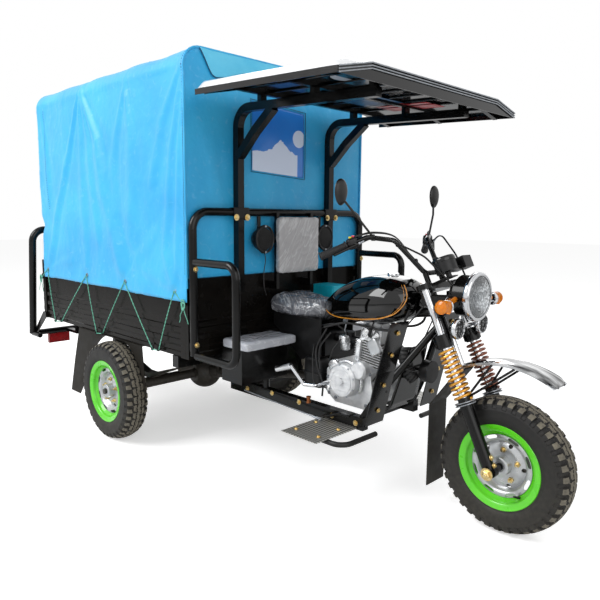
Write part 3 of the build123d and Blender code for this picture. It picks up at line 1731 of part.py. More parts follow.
nodes = {
    "chassis_rails": chassis_rails,
    "lower_frame": lower_frame,
    "front_frame": front_frame,
    "engine": engine,
    "carburettor": carburettor,
    "exhaust": exhaust,
    "fuel_tank": fuel_tank,
    "saddle": saddle,
    "saddle_base": saddle_base,
    "side_cushions": side_cushions,
    "tool_boxes": tool_boxes,
    "water_tank": water_tank,
    "leg_shields": leg_shields,
    "foot_plates": foot_plates,
    "kick_lever": kick_lever,
    "horn": horn,
    "bed_floor": bed_floor,
    "bed_sides": bed_sides,
    "bed_front_panel": bed_front_panel,
    "gate_hinges": gate_hinges,
    "front_guard": front_guard,
    "arm_rails": arm_rails,
    "backrest_bars": backrest_bars,
    "backrest": backrest,
    "speakers": speakers,
    "cab_frame": cab_frame,
    "roof_ties": roof_ties,
    "cab_roof": cab_roof,
    "tarp_bows": tarp_bows,
    "tarp": tarp,
    "rear_fenders": rear_fenders,
    "rear_hoop": rear_hoop,
    "tail_lamps": tail_lamps,
    "rear_axle": rear_axle,
    "leaf_springs": leaf_springs,
    "drive_shaft": drive_shaft,
    "tailgate": tailgate,
    "fork_clamps": fork_clamps,
    "fork_tubes": fork_tubes,
    "fork_legs": fork_legs,
    "fork_springs": fork_springs,
    "front_mudguard": front_mudguard,
    "front_flap": front_flap,
    "handlebar": handlebar,
    "grips": grips,
    "levers": levers,
    "lever_cables": lever_cables,
    "mirrors": mirrors,
    "headlamp": headlamp,
    "headlamp_lens": headlamp_lens,
    "indicators": indicators,
    "aux_lamps": aux_lamps,
    "instruments": instruments,
    "front_tyre": lambda: tyre(front_axle),
    "front_wheel": lambda: wheel(front_axle, -1, hub_bore),
    "rear_tyre_right": lambda: tyre((rear_axle_x, -rear_wheel_y, tyre_radius)),
    "rear_wheel_right": lambda: wheel((rear_axle_x, -rear_wheel_y, tyre_radius), -1, hub_bore),
    "rear_tyre_left": lambda: tyre((rear_axle_x, rear_wheel_y, tyre_radius)),
    "rear_wheel_left": lambda: wheel((rear_axle_x, rear_wheel_y, tyre_radius), 1, hub_bore),
}

# The origin lies midway between the front of the tyre and the back of the rear hoop
front_end = front_axle_x + tyre_radius
rear_end = hoop_foot[0] - hoop_tube
middle_x = (front_end + rear_end) / 2

os.makedirs("parts", exist_ok=True)
for name, make in nodes.items():
    shape = make()
    export_step(Pos(-middle_x, 0, 0) * Compound(children=shape.solids()), f"parts/{name}.step")
    print(name, round(sum(s.volume for s in shape.solids())))
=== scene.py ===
import random
from math import cos, exp, hypot, pi, radians, sin, sqrt, tan
import bmesh
import bpy
from mathutils import Matrix, Vector, noise


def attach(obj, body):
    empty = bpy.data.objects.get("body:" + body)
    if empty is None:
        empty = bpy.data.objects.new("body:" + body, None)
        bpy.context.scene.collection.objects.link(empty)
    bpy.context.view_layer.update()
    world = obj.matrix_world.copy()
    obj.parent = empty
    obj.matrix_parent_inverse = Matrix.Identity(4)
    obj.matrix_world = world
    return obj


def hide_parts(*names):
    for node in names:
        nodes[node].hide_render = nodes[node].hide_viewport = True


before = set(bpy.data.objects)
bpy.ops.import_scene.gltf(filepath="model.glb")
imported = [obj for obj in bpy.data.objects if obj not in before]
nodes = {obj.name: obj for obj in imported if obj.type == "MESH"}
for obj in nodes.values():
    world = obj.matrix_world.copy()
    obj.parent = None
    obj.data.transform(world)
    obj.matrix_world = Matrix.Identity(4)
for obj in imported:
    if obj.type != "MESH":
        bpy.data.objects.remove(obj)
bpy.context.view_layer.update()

# A cargo motor tricycle. Places are in millimetres, X measured forward from the rear axle,
# Y to the rider's left and Z up from the ground.
MM = 0.001
ORIGIN_X = 594.5
WHEELBASE, HALF_TRACK, TYRE_R, BED_HALF = 2082.0, 642.0, 283.0, 624.0
FORK_HALF, RAKE = 114.0, radians(25.5)
FORK_FORWARD = Vector((cos(RAKE), 0, sin(RAKE)))
FORK_UP = Vector((-sin(RAKE), 0, cos(RAKE)))
FORK_OFFSET = 8.0
FORK_FOOT = Vector((WHEELBASE, 0, TYRE_R)) - FORK_FORWARD * FORK_OFFSET


def metres(point):
    """A place in the drawing's millimetres as one in the model's metres."""
    return Vector(((point[0] - ORIGIN_X) * MM, point[1] * MM, point[2] * MM))


def on_fork(ahead, across, up):
    """A place reckoned along the raked fork from its foot."""
    return FORK_FOOT + FORK_FORWARD * ahead + Vector((0, across, 0)) + FORK_UP * up


# Camera, floor and light
FRAME_PX, FOCAL_PX, SENSOR = 600, 598.9, 36.0
CAMERA = (3148.0, -2266.6, 1283.7)


def make_camera():
    """The camera at the place, turn and lens found from the photograph."""
    yaw, pitch, roll = radians(135.05), radians(-7.90), radians(0.46)
    ahead = Vector((cos(yaw) * cos(pitch), sin(yaw) * cos(pitch), sin(pitch)))
    right = Vector((sin(yaw), -cos(yaw), 0))
    up = right.cross(ahead)
    right_rolled = right * cos(roll) + up * sin(roll)
    up_rolled = up * cos(roll) - right * sin(roll)
    data = bpy.data.cameras.new("camera")
    data.sensor_width = SENSOR
    data.lens = FOCAL_PX / FRAME_PX * SENSOR
    camera = bpy.data.objects.new("camera", data)
    bpy.context.scene.collection.objects.link(camera)
    turn = Matrix((right_rolled, up_rolled, -ahead)).transposed()
    camera.matrix_world = Matrix.Translation(metres(CAMERA)) @ turn.to_4x4()
    bpy.context.scene.camera = camera


def linear(code):
    """A colour written as sRGB hex, as the linear values that shaders take."""
    parts = [int(code[i:i + 2], 16) / 255 for i in (1, 3, 5)]
    return tuple(c / 12.92 if c <= 0.04045 else ((c + 0.055) / 1.055) ** 2.4 for c in parts) + (1.0,)


def feed(tree, node, links=(), **settings):
    """Gives a node its settings and input values, and links or sets the sockets in the list."""
    for name, value in settings.items():
        if hasattr(node, name):
            setattr(node, name, value)
        else:
            node.inputs[name.replace("_", " ")].default_value = value
    for socket, source in links:
        if isinstance(source, bpy.types.NodeSocket):
            tree.links.new(source, node.inputs[socket])
        else:
            node.inputs[socket].default_value = source
    return node


def add(tree, kind, links=(), **settings):
    """One shader node, with its settings, its input values and the sockets that feed it."""
    return feed(tree, tree.nodes.new("ShaderNode" + kind), links, **settings)


def new_material(name):
    """An empty material with its node tree and its main shader."""
    material = bpy.data.materials.new(name)
    material.use_nodes = True
    tree = material.node_tree
    return material, tree, tree.nodes["Principled BSDF"]


def per_metre(size_mm):
    """The texture scale at which a pattern repeats every so many millimetres."""
    return 1.0 / (size_mm * MM)


def finish(name, colour, second=None, patch_mm=60.0, rough=0.5, rough_spread=0.08, grain_mm=1.0,
           grain_height=0.05, metal=0.0, coat=0.0, sheen=0.0, dust=None, dust_low=0.0, dust_high=500.0,
           dust_share=0.5, clearness=0.0, ior=None, stretch=(1, 1, 1)):
    """A real surface: two close colours in soft patches, a roughness that wanders, a fine grain in
    the bump, and road dust that thins out with height."""
    material, tree, shader = new_material(name)
    place = add(tree, "TexCoord").outputs["Object"]
    if stretch != (1, 1, 1):
        place = add(tree, "Mapping", [("Vector", place)], Scale=stretch).outputs[0]
    patches = add(tree, "TexNoise", [("Vector", place)], Scale=per_metre(patch_mm), Detail=5.0)
    spread = add(tree, "MapRange", [("Value", patches.outputs[0])], From_Min=0.32, From_Max=0.68)
    blend = add(tree, "Mix", [("Factor", spread.outputs[0]), (6, linear(colour)),
                              (7, linear(second or colour))], data_type="RGBA")
    out = blend.outputs[2]
    worn = add(tree, "MapRange", [("Value", patches.outputs[0])], From_Min=0.3, From_Max=0.7,
               To_Min=max(rough - rough_spread, 0.02), To_Max=min(rough + rough_spread, 1.0))
    rough_out = worn.outputs[0]
    if dust:
        where = add(tree, "NewGeometry").outputs["Position"]
        height = add(tree, "SeparateXYZ", [("Vector", where)])
        low = add(tree, "MapRange", [("Value", height.outputs["Z"])], From_Min=dust_low * MM,
                  From_Max=dust_high * MM, To_Min=dust_share, To_Max=dust_share * 0.12)
        specks = add(tree, "TexNoise", [("Vector", place)], Scale=per_metre(18.0), Detail=8.0)
        thick = add(tree, "Math", [(0, specks.outputs[0]), (1, low.outputs[0])], operation="MULTIPLY")
        thick = add(tree, "Math", [(0, thick.outputs[0]), (1, 1.6)], operation="MULTIPLY")
        dusty = add(tree, "Mix", [("Factor", thick.outputs[0]), (6, out), (7, linear(dust))],
                    data_type="RGBA")
        out = dusty.outputs[2]
    feed(tree, shader, [("Base Color", out), ("Roughness", rough_out)])
    grain = add(tree, "TexNoise", [("Vector", place)], Scale=per_metre(grain_mm), Detail=3.0)
    bump = add(tree, "Bump", [("Height", grain.outputs[0])], Distance=grain_height * MM, Strength=1.0)
    feed(tree, shader, [("Normal", bump.outputs[0])], Metallic=metal, Coat_Weight=coat, Coat_Roughness=0.04,
         Sheen_Weight=sheen, Transmission_Weight=clearness)
    if ior:
        shader.inputs["IOR"].default_value = ior
    return material


# Powder coat on bent steel tube: deep black, a soft gloss and a slight orange peel
powder_coat = finish("gloss_powder_coat", "#050505", "#0a0a0a", 90, 0.22, 0.07, 2.2, 0.05, coat=0.1,
                     dust="#6b6256", dust_share=0.03, ior=1.3)
# Satin alkyd paint on pressed sheet: a warm, slightly brown black with dull patches
bed_paint = finish("satin_bed_paint", "#090807", "#100e0c", 140, 0.24, 0.08, 3.0, 0.06,
                   dust="#7a6f60", dust_share=0.03, dust_high=900.0, ior=1.2)
# Black sheet fenders below the box, dulled by spray from the wheels
fender_paint = finish("dusty_fender_paint", "#100f0d", "#191713", 90, 0.48, 0.1, 3.0, 0.06,
                      dust="#7a6f60", dust_share=0.07, dust_high=700.0, ior=1.22)
# Stoved lacquer on the tank: a mirror-smooth black
tank_lacquer = finish("stoved_tank_lacquer", "#030303", "#050505", 200, 0.06, 0.02, 20.0, 0.02, coat=0.35,
                      ior=1.4)
# Enamel on the rims: an acid green with a clean gloss
green_enamel = finish("green_rim_enamel", "#55d312", "#60da1e", 60, 0.3, 0.06, 2.0, 0.04, coat=0.4,
                      dust="#6b6a52", dust_share=0.12)
# Silver wheel paint: fine, pale and metallic
silver_paint = finish("silver_wheel_paint", "#c9cbcd", "#b3b6b9", 40, 0.34, 0.08, 1.0, 0.05, metal=0.75,
                      dust="#8a8378", dust_share=0.18)
# Plated steel: bright chrome with a faint haze
chrome = finish("chrome_plate", "#dcdddf", "#cfd1d4", 50, 0.09, 0.04, 4.0, 0.02, metal=1.0)
# Zinc plated steel, duller and bluer than chrome
zinc = finish("zinc_plated_steel", "#a9adb2", "#8d9196", 25, 0.36, 0.1, 1.5, 0.05, metal=1.0)
# Yellow passivated bolts and nuts
yellow_zinc = finish("yellow_passivated_zinc", "#e8d7a6", "#c9a865", 12, 0.3, 0.08, 1.0, 0.04, metal=1.0)
# Die-cast aluminium of the engine: pale grey with a blasted grain
cast_alloy = finish("blasted_die_cast_alloy", "#f0f1f2", "#d4d6d9", 35, 0.4, 0.1, 1.2, 0.12, metal=0.45,
                    dust="#6f675b", dust_share=0.1, dust_high=800.0)
# Machined faces of the fins and covers, brighter than the casting
bright_alloy = finish("machined_alloy", "#f6f7f8", "#dfe1e3", 30, 0.24, 0.08, 1.0, 0.04, metal=0.72,
                      coat=0.3)
# Black painted iron of axle, springs and shaft
black_iron = finish("painted_black_iron", "#141312", "#221f1c", 45, 0.5, 0.12, 3.0, 0.15,
                    dust="#6f675b", dust_share=0.4, dust_high=700.0)
# Heat-stained silencer sheet
silencer_sheet = finish("satin_silencer_sheet", "#2b2a29", "#3a3836", 60, 0.42, 0.1, 2.0, 0.06, metal=0.6)
# Lacquered coil springs, one gold and one copper
gold_lacquer = finish("gold_spring_lacquer", "#e3a63a", "#d09028", 20, 0.26, 0.05, 3.0, 0.03, metal=0.55,
                      coat=0.4)
copper_lacquer = finish("copper_spring_lacquer", "#8a4526", "#743a20", 20, 0.3, 0.05, 3.0, 0.03, metal=0.5,
                        coat=0.4)
# Moulded tyre rubber: a soft black that has taken up road dust on its blocks
tyre_rubber = finish("moulded_tyre_rubber", "#101011", "#181819", 50, 0.6, 0.08, 2.0, 0.12, ior=1.4,
                     dust="#8a8373", dust_share=0.12, dust_low=0.0, dust_high=560.0)
# Ribbed grip rubber and flaps
grip_rubber = finish("moulded_grip_rubber", "#121213", "#1a1a1b", 20, 0.55, 0.08, 1.5, 0.08)
flap_rubber = finish("sheet_flap_rubber", "#111111", "#1a1917", 60, 0.58, 0.08, 2.5, 0.1, ior=1.4,
                     dust="#7d7466", dust_share=0.14, dust_high=600.0)
# Grained ABS of lamp shells, switches and speaker boxes
black_abs = finish("grained_black_abs", "#0a0a0b", "#101011", 30, 0.4, 0.06, 0.9, 0.06, ior=1.4)
# Glossy ABS of the leg shields and mirror shells
gloss_abs = finish("gloss_black_abs", "#050506", "#0a0a0b", 80, 0.14, 0.04, 10.0, 0.02, coat=0.2, ior=1.42)
# Teal polyethylene of the small tank
teal_poly = finish("blown_teal_polyethylene", "#12bdd6", "#0fa9c2", 40, 0.4, 0.06, 2.0, 0.08)
# Acrylic lenses of the indicators and the tail lamps: deep in colour, with a hard gloss
amber_lens = finish("amber_acrylic", "#f7981c", "#ee8510", 12, 0.16, 0.03, 4.0, 0.05, clearness=0.35,
                    ior=1.49)
red_lens = finish("red_acrylic", "#b01218", "#8d0c12", 12, 0.16, 0.03, 4.0, 0.05, clearness=0.3, ior=1.49)
# Line printed round the tank: an even orange with the lacquer's shine over it
orange_stripe = finish("printed_orange_line", "#d9922e", "#c98322", 20, 0.25, 0.03, 5.0, 0.01, coat=0.6)
# Polypropylene twine laid in two strands: a pale mint, matt and slightly fibrous
mint_twine = finish("twisted_mint_twine", "#7fc9ae", "#4f9c86", 3, 0.75, 0.05, 1.0, 0.2)
# Pressed glass of the lamps: nearly clear, with sharp reflections
clear_glass = finish("pressed_lamp_glass", "#eef2f4", "#e4eaee", 30, 0.04, 0.02, 6.0, 0.03, clearness=0.92,
                     ior=1.5)
# Copper sleeves bonded on rubber bushes: a dull reddish metal
copper_metal = finish("bonded_copper_bush", "#a5673f", "#8b5230", 12, 0.35, 0.06, 2.0, 0.05, metal=0.8)
# Moulded switch keys, one yellow and one red: a plain colour with a soft shine
yellow_key = finish("yellow_switch_key", "#e6d21f", "#d9c414", 10, 0.35, 0.05, 2.0, 0.03)
pink_key = finish("red_switch_key", "#d8475f", "#c83a52", 10, 0.35, 0.05, 2.0, 0.03)
# Silvered glass of the mirrors: it gives back what it faces
mirror_glass = finish("silvered_mirror", "#cfd4d8", "#cfd4d8", 60, 0.03, 0.01, 20.0, 0.0, metal=1.0)


def tarpaulin():
    """Coated woven sheet: a bright sky blue, with threads a millimetre apart drawn three times as
    coarse so that they show, thin pale creases and a soft waxy gloss."""
    material, tree, shader = new_material("coated_woven_tarpaulin")
    place = add(tree, "TexCoord").outputs["Object"]
    cloud = add(tree, "TexNoise", [("Vector", place)], Scale=per_metre(260), Detail=6.0)
    tone = add(tree, "MapRange", [("Value", cloud.outputs[0])], From_Min=0.3, From_Max=0.7)
    base = add(tree, "Mix", [("Factor", tone.outputs[0]), (6, linear("#20a3de")), (7, linear("#33b6ea"))],
               data_type="RGBA")
    scuffs = add(tree, "TexNoise", [("Vector", place)], Scale=per_metre(45), Detail=9.0, Distortion=1.6)
    faint = add(tree, "MapRange", [("Value", scuffs.outputs[0])], From_Min=0.58, From_Max=0.72, To_Max=0.22)
    colour = add(tree, "Mix", [("Factor", faint.outputs[0]), (6, base.outputs[2]), (7, linear("#8fd2fa"))],
                 data_type="RGBA")
    feed(tree, shader, [("Base Color", colour.outputs[2])], Roughness=0.46, Sheen_Weight=0.1,
         Coat_Weight=0.12, Coat_Roughness=0.35)
    threads = []
    for turn in ((0, 0, 0), (0, 0, pi / 2), (0, pi / 2, 0)):
        laid = add(tree, "Mapping", [("Vector", place)], Rotation=turn)
        threads.append(add(tree, "TexWave", [("Vector", laid.outputs[0])], Scale=per_metre(3.0) / 6.28,
                           wave_type="BANDS", bands_direction="X"))
    weave = threads[0].outputs[1]
    for other in threads[1:]:
        weave = add(tree, "Math", [(0, weave), (1, other.outputs[1])], operation="ADD").outputs[0]
    crumple = add(tree, "TexNoise", [("Vector", place)], Scale=per_metre(38), Detail=5.0)
    fine = add(tree, "Bump", [("Height", weave)], Distance=0.05 * MM, Strength=0.5)
    soft = add(tree, "Bump", [("Height", crumple.outputs[0]), ("Normal", fine.outputs[0])],
               Distance=2.2 * MM)
    tree.links.new(soft.outputs[0], shader.inputs["Normal"])
    return material


def film_wrap(name, under, shine, turn, stretch, size_mm):
    """A pad in its thin clear shipping film: an under colour for the pad below, pale streaks of painted
    highlight where the film wrinkles along one direction, and a wet gloss."""
    material, tree, shader = new_material(name)
    place = add(tree, "TexCoord").outputs["Object"]
    turned = add(tree, "Mapping", [("Vector", place)], Rotation=turn)
    laid = add(tree, "Mapping", [("Vector", turned.outputs[0])], Scale=stretch)
    folds = add(tree, "TexNoise", [("Vector", laid.outputs[0])], Scale=per_metre(size_mm), Detail=3.0,
                Distortion=0.4)
    ridge = add(tree, "Math", [(0, folds.outputs[0]), (1, 0.5)], operation="SUBTRACT")
    ridge = add(tree, "Math", [(0, ridge.outputs[0])], operation="ABSOLUTE")
    # pale streaks along the ridge lines: painted highlights of the film
    painted_highlight_streak = add(tree, "MapRange", [("Value", ridge.outputs[0])], From_Min=0.0, From_Max=0.035,
                 To_Min=shine, To_Max=0.0)
    colour = add(tree, "Mix", [("Factor", painted_highlight_streak.outputs[0]), (6, linear(under)), (7, linear("#e3e6e8"))],
                 data_type="RGBA")
    tree.links.new(colour.outputs[2], shader.inputs["Base Color"])
    bump = add(tree, "Bump", [("Height", ridge.outputs[0])], Distance=8.0 * MM, Strength=0.7)
    feed(tree, shader, [("Normal", bump.outputs[0])], Roughness=0.22, Coat_Weight=0.9, Coat_Roughness=0.06)
    return material


def chequer_plate():
    """Rolled chequer plate: worn grey steel with raised diamonds 24 mm apart."""
    material, tree, shader = new_material("rolled_chequer_plate")
    place = add(tree, "TexCoord").outputs["Object"]
    laid = add(tree, "Mapping", [("Vector", place)], Rotation=(0, 0, radians(45)))
    studs = add(tree, "TexChecker", [("Vector", laid.outputs[0])], Scale=per_metre(12))
    height = add(tree, "SeparateXYZ", [("Vector", place)])
    # the loop below the plate keeps its plain black paint
    rolled = add(tree, "Math", [(0, height.outputs["Z"]), (1, 325.2 * MM)], operation="GREATER_THAN")
    raised = add(tree, "Math", [(0, studs.outputs[1]), (1, rolled.outputs[0])], operation="MULTIPLY")
    colour = add(tree, "Mix", [("Factor", raised.outputs[0]), (6, linear("#1d1d1c")),
                               (7, linear("#b9b8b2"))], data_type="RGBA")
    feed(tree, shader, [("Base Color", colour.outputs[2])], Roughness=0.42, Metallic=0.4)
    bump = add(tree, "Bump", [("Height", raised.outputs[0])], Distance=1.2 * MM)
    tree.links.new(bump.outputs[0], shader.inputs["Normal"])
    return material


# Reflector, pressed and vapour-coated: silvery, with its faceted sparkle painted as white and dark grey
# patches 9 mm across
reflector_painted_glints = finish("vapour_coated_reflector_painted_glints", "#ffffff", "#4a4d52", 9, 0.12, 0.06, 6.0, 0.05, metal=0.9)
# Chrome of the mudguard with painted reflections: long dark and bright bands in its colour
blade_chrome_painted_reflections = finish("chrome_blade_painted_reflections", "#1e1f21", "#f4f5f6", 46, 0.08, 0.03, 6.0, 0.02, metal=1.0,
                      stretch=(0.35, 1.6, 0.6))
# Worn tops of the tread blocks: grey-brown with dust
worn_tread = finish("dusty_tread_rubber", "#5b574e", "#7a7466", 16, 0.75, 0.08, 2.0, 0.15, ior=1.4)
# Screen-printed marks of the dial: a flat white, slightly grey
dial_white = finish("screen_printed_white", "#e8e8e4", "#dcdcd8", 10, 0.5, 0.05, 2.0, 0.02)
# Mirror shells: a soft, slightly grey black
mirror_black = finish("satin_black_abs", "#141413", "#1d1c1b", 30, 0.36, 0.06, 0.9, 0.05, ior=1.42)
# Glass fibre roof skin: white gel coat with a clean gloss
white_glass_fibre = finish("white_gel_coat", "#f6f7f8", "#eceef0", 160, 0.22, 0.05, 4.0, 0.03, coat=0.4)
# Gel coat of the roof's dome: a pale grey, duller than the white skin
dome_grey = finish("grey_gel_coat", "#c3c6cd", "#b4b8c0", 90, 0.3, 0.05, 4.0, 0.03, coat=0.3)
# Lining sheets under the roof, one blue and one red: dark, with a low sheen
blue_lining = finish("blue_lining_sheet", "#17476b", "#1b527a", 60, 0.35, 0.06, 2.0, 0.05)
red_lining = finish("red_lining_sheet", "#b51d27", "#a01721", 60, 0.35, 0.06, 2.0, 0.05)
tarp_cloth = tarpaulin()
# The pale streaks of these wraps are painted highlights; the saddle's grey under colour, lighter than black
# vinyl, is partly painted sheen of the film
wrapped_saddle = film_wrap("black_vinyl_in_clear_film", "#6b6d73", 0.42,
                           (0, radians(-35), radians(25)), (0.7, 5.0, 5.0), 170)
wrapped_pads = film_wrap("grey_cloth_in_clear_film", "#a7a6a8", 0.4,
                         (radians(30), 0, 0), (1.0, 4.5, 0.6), 130)
wrapped_cushions = film_wrap("pale_cloth_in_clear_film", "#b4b7bf", 0.4,
                             (0, 0, radians(35)), (3.0, 0.8, 3.0), 170)
chequered = chequer_plate()


def make_stage():
    """A pale floor that takes the shadow, and a white surround for the camera and for gloss."""
    bpy.context.scene.view_settings.view_transform = "Standard"
    mesh = bpy.data.meshes.new("floor")
    size = 30.0
    mesh.from_pydata([(-size, -size, 0), (size, -size, 0), (size, size, 0), (-size, size, 0)], [],
                     [(0, 1, 2, 3)])
    floor = bpy.data.objects.new("floor", mesh)
    bpy.context.scene.collection.objects.link(floor)
    material, tree, shader = new_material("pale_floor")
    feed(tree, shader, Base_Color=linear("#f4f4f4"), Roughness=0.9, Specular_IOR_Level=0.0,
         Emission_Color=(1, 1, 1, 1))
    seen = add(tree, "LightPath")
    lift = add(tree, "Math", [(0, seen.outputs["Is Camera Ray"]), (1, 0.5)], operation="MULTIPLY")
    tree.links.new(lift.outputs[0], shader.inputs["Emission Strength"])
    mesh.materials.append(material)
    world = bpy.data.worlds.new("studio")
    bpy.context.scene.world = world
    world.use_nodes = True
    tree = world.node_tree
    back = tree.nodes["Background"]
    path = add(tree, "LightPath")
    seen = add(tree, "Math", [(0, path.outputs["Is Camera Ray"]), (1, path.outputs["Is Transmission Ray"])],
               operation="MAXIMUM")
    seen = add(tree, "Math", [(0, seen.outputs[0]), (1, path.outputs["Is Glossy Ray"])],
               operation="MAXIMUM")
    level = add(tree, "MapRange", [("Value", seen.outputs[0])], To_Min=0.5, To_Max=1.0)
    feed(tree, back, [("Strength", level.outputs[0])], Color=(1, 1, 1, 1))
    for name, place, aim, size, power in (
        ("key", (-2.4, -5.6, 5.6), (0, 0, 0.9), 4.0, 420.0),
        ("fill", (5.2, -2.0, 3.2), (0.4, 0, 0.6), 4.0, 80.0),
        ("back", (-3.0, 4.0, 4.0), (0, 0, 0.8), 4.0, 120.0),
    ):
        data = bpy.data.lights.new(name, "AREA")
        data.size = size
        data.energy = power
        lamp = bpy.data.objects.new(name, data)
        lamp.location = place
        lamp.rotation_euler = (Vector(aim) - Vector(place)).to_track_quat("-Z", "Y").to_euler()
        bpy.context.scene.collection.objects.link(lamp)


# Shapes: each is a list of points in millimetres and a list of faces
def join(*shapes):
    """Several shapes as one."""
    points, faces = [], []
    for more, ring in shapes:
        base = len(points)
        points.extend(more)
        faces.extend(tuple(i + base for i in face) for face in ring)
    return points, faces


def moved(shape, matrix):
    return [matrix @ Vector(p) for p in shape[0]], shape[1]


def shifted(shape, x, y, z):
    return moved(shape, Matrix.Translation((x, y, z)))


def other_side(shape):
    return [Vector((p[0], -p[1], p[2])) for p in shape[0]], [tuple(reversed(f)) for f in shape[1]]


def both(shape):
    """A shape of one side together with its mirror image."""
    return join(shape, other_side(shape))


def surface(place, across, along, loop_across=False, loop_along=False):
    """A net of four-sided faces over a function of two shares."""
    wide = across if loop_across else across + 1
    long = along if loop_along else along + 1
    points = [place(i / across, j / along) for j in range(long) for i in range(wide)]
    faces = []
    for j in range(along):
        for i in range(across):
            right, above = (i + 1) % wide, (j + 1) % long
            faces.append((j * wide + i, j * wide + right, above * wide + right, above * wide + i))
    return points, faces


def closed_ends(shape, sides):
    """A tube-like net with a flat face over each open end."""
    count = len(shape[0])
    return shape[0], shape[1] + [tuple(reversed(range(sides))), tuple(range(count - sides, count))]


def lathe(profile, segments=48, closed=False):
    """A profile of radius and height pairs turned round Z."""
    last = len(profile) - (0 if closed else 1)

    def place(i, j):
        radius, height = profile[round(j * last) % len(profile)]
        angle = 2 * pi * i
        return Vector((radius * cos(angle), radius * sin(angle), height))

    return surface(place, segments, last, True, closed)


def facing(shape, direction, origin=(0, 0, 0)):
    """A shape built up along Z, turned to point another way and put in its place."""
    turn = Vector(direction).to_track_quat("Z", "Y").to_matrix().to_4x4()
    return moved(shape, Matrix.Translation(Vector(origin)) @ turn)


def bend(points, radius, steps=7):
    """A path with each corner rounded by an arc."""
    points = [Vector(p) for p in points]
    path = [points[0]]
    for before, corner, after in zip(points, points[1:], points[2:]):
        back, ahead = (before - corner), (after - corner)
        reach = min(radius * tan((pi - back.angle(ahead)) / 2), back.length * 0.49, ahead.length * 0.49)
        start, end = corner + back.normalized() * reach, corner + ahead.normalized() * reach
        for k in range(steps + 1):
            t = k / steps
            path.append(start * (1 - t) ** 2 + corner * 2 * t * (1 - t) + end * t * t)
    path.append(points[-1])
    return path


def flowing(points, steps=8):
    """A smooth path through its points."""
    points = [Vector(p) for p in points]
    ends = [points[0] * 2 - points[1], *points, points[-1] * 2 - points[-2]]
    path = []
    for a, b, c, d in zip(ends, ends[1:], ends[2:], ends[3:]):
        for k in range(steps):
            t = k / steps
            path.append(0.5 * (b * 2 + (c - a) * t + (a * 2 - b * 5 + c * 4 - d) * t * t
                               + (b * 3 - a - c * 3 + d) * t ** 3))
    path.append(points[-1])
    return path


def pipe(path, radius, sides=12, caps=True, closed=False, widths=None):
    """A round bar along a path, its rings carried along without twist."""
    path = [Vector(p) for p in path]
    count = len(path)
    runs = []
    for i in range(count):
        if closed:
            run = path[(i + 1) % count] - path[i - 1]
        else:
            run = path[min(i + 1, count - 1)] - path[max(i - 1, 0)]
        runs.append(run.normalized())
    side = runs[0].orthogonal().normalized()
    points, faces = [], []
    for i in range(count):
        side = (side - runs[i] * side.dot(runs[i])).normalized()
        up = runs[i].cross(side)
        r = widths[i] if widths else radius
        points += [path[i] + (side * cos(2 * pi * k / sides) + up * sin(2 * pi * k / sides)) * r
                   for k in range(sides)]
    rings = count if closed else count - 1
    for i in range(rings):
        a, b = i * sides, ((i + 1) % count) * sides
        faces += [(a + k, a + (k + 1) % sides, b + (k + 1) % sides, b + k) for k in range(sides)]
    if caps and not closed:
        faces.append(tuple(reversed(range(sides))))
        faces.append(tuple(range((count - 1) * sides, count * sides)))
    return points, faces


def plate(outline, thick):
    """A flat plate from its outline in the XY plane, from Z zero upward."""
    count = len(outline)
    points = [Vector((x, y, 0)) for x, y in outline] + [Vector((x, y, thick)) for x, y in outline]
    faces = [tuple(reversed(range(count))), tuple(range(count, 2 * count))]
    faces += [(i, (i + 1) % count, count + (i + 1) % count, count + i) for i in range(count)]
    return points, faces


def block(x, y, z):
    return shifted(plate([(x[0], y[0]), (x[1], y[0]), (x[1], y[1]), (x[0], y[1])], z[1] - z[0]), 0, 0, z[0])


def round_box(x, y, z, power=4.0, cells=14):
    """A box with full, cushion-like sides."""
    mid = Vector(((x[0] + x[1]) / 2, (y[0] + y[1]) / 2, (z[0] + z[1]) / 2))
    half = Vector(((x[1] - x[0]) / 2, (y[1] - y[0]) / 2, (z[1] - z[0]) / 2))
    points, faces = [], []
    for axis in range(3):
        for side in (-1, 1):
            def place(u, v):
                p = [0, 0, 0]
                p[axis] = side
                p[(axis + 1) % 3] = (u * 2 - 1) * side
                p[(axis + 2) % 3] = v * 2 - 1
                p = Vector([sin(c * pi / 4) / sin(pi / 4) for c in p])
                size = sum(abs(c) ** power for c in p) ** (1 / power)
                return mid + Vector([c / size * h for c, h in zip(p, half)])
            points, faces = join((points, faces), surface(place, cells, cells))
    return points, faces


def hex_bolt(place, direction, across=13.0, high=6.0, washer=True, shank=3.0):
    """A hexagon head with its chamfer, on a washer."""
    r = across / sqrt(3)
    top = high + shank
    head = lathe([(0, top), (r * 0.8, top), (r, high * 0.8 + shank), (r, shank), (0, shank)], 6)
    disc = lathe([(0, shank), (across * 0.95, shank), (across * 0.95, shank * 0.4), (0, shank * 0.4)], 20)
    return facing(join(head, disc) if washer else head, direction, place)


def raw_object(name, shape):
    """A shape as an object of the scene, without material or body."""
    mesh = bpy.data.meshes.new(name)
    mesh.from_pydata([metres(p) for p in shape[0]], [], shape[1])
    made = bpy.data.objects.new(name, mesh)
    bpy.context.scene.collection.objects.link(made)
    return made


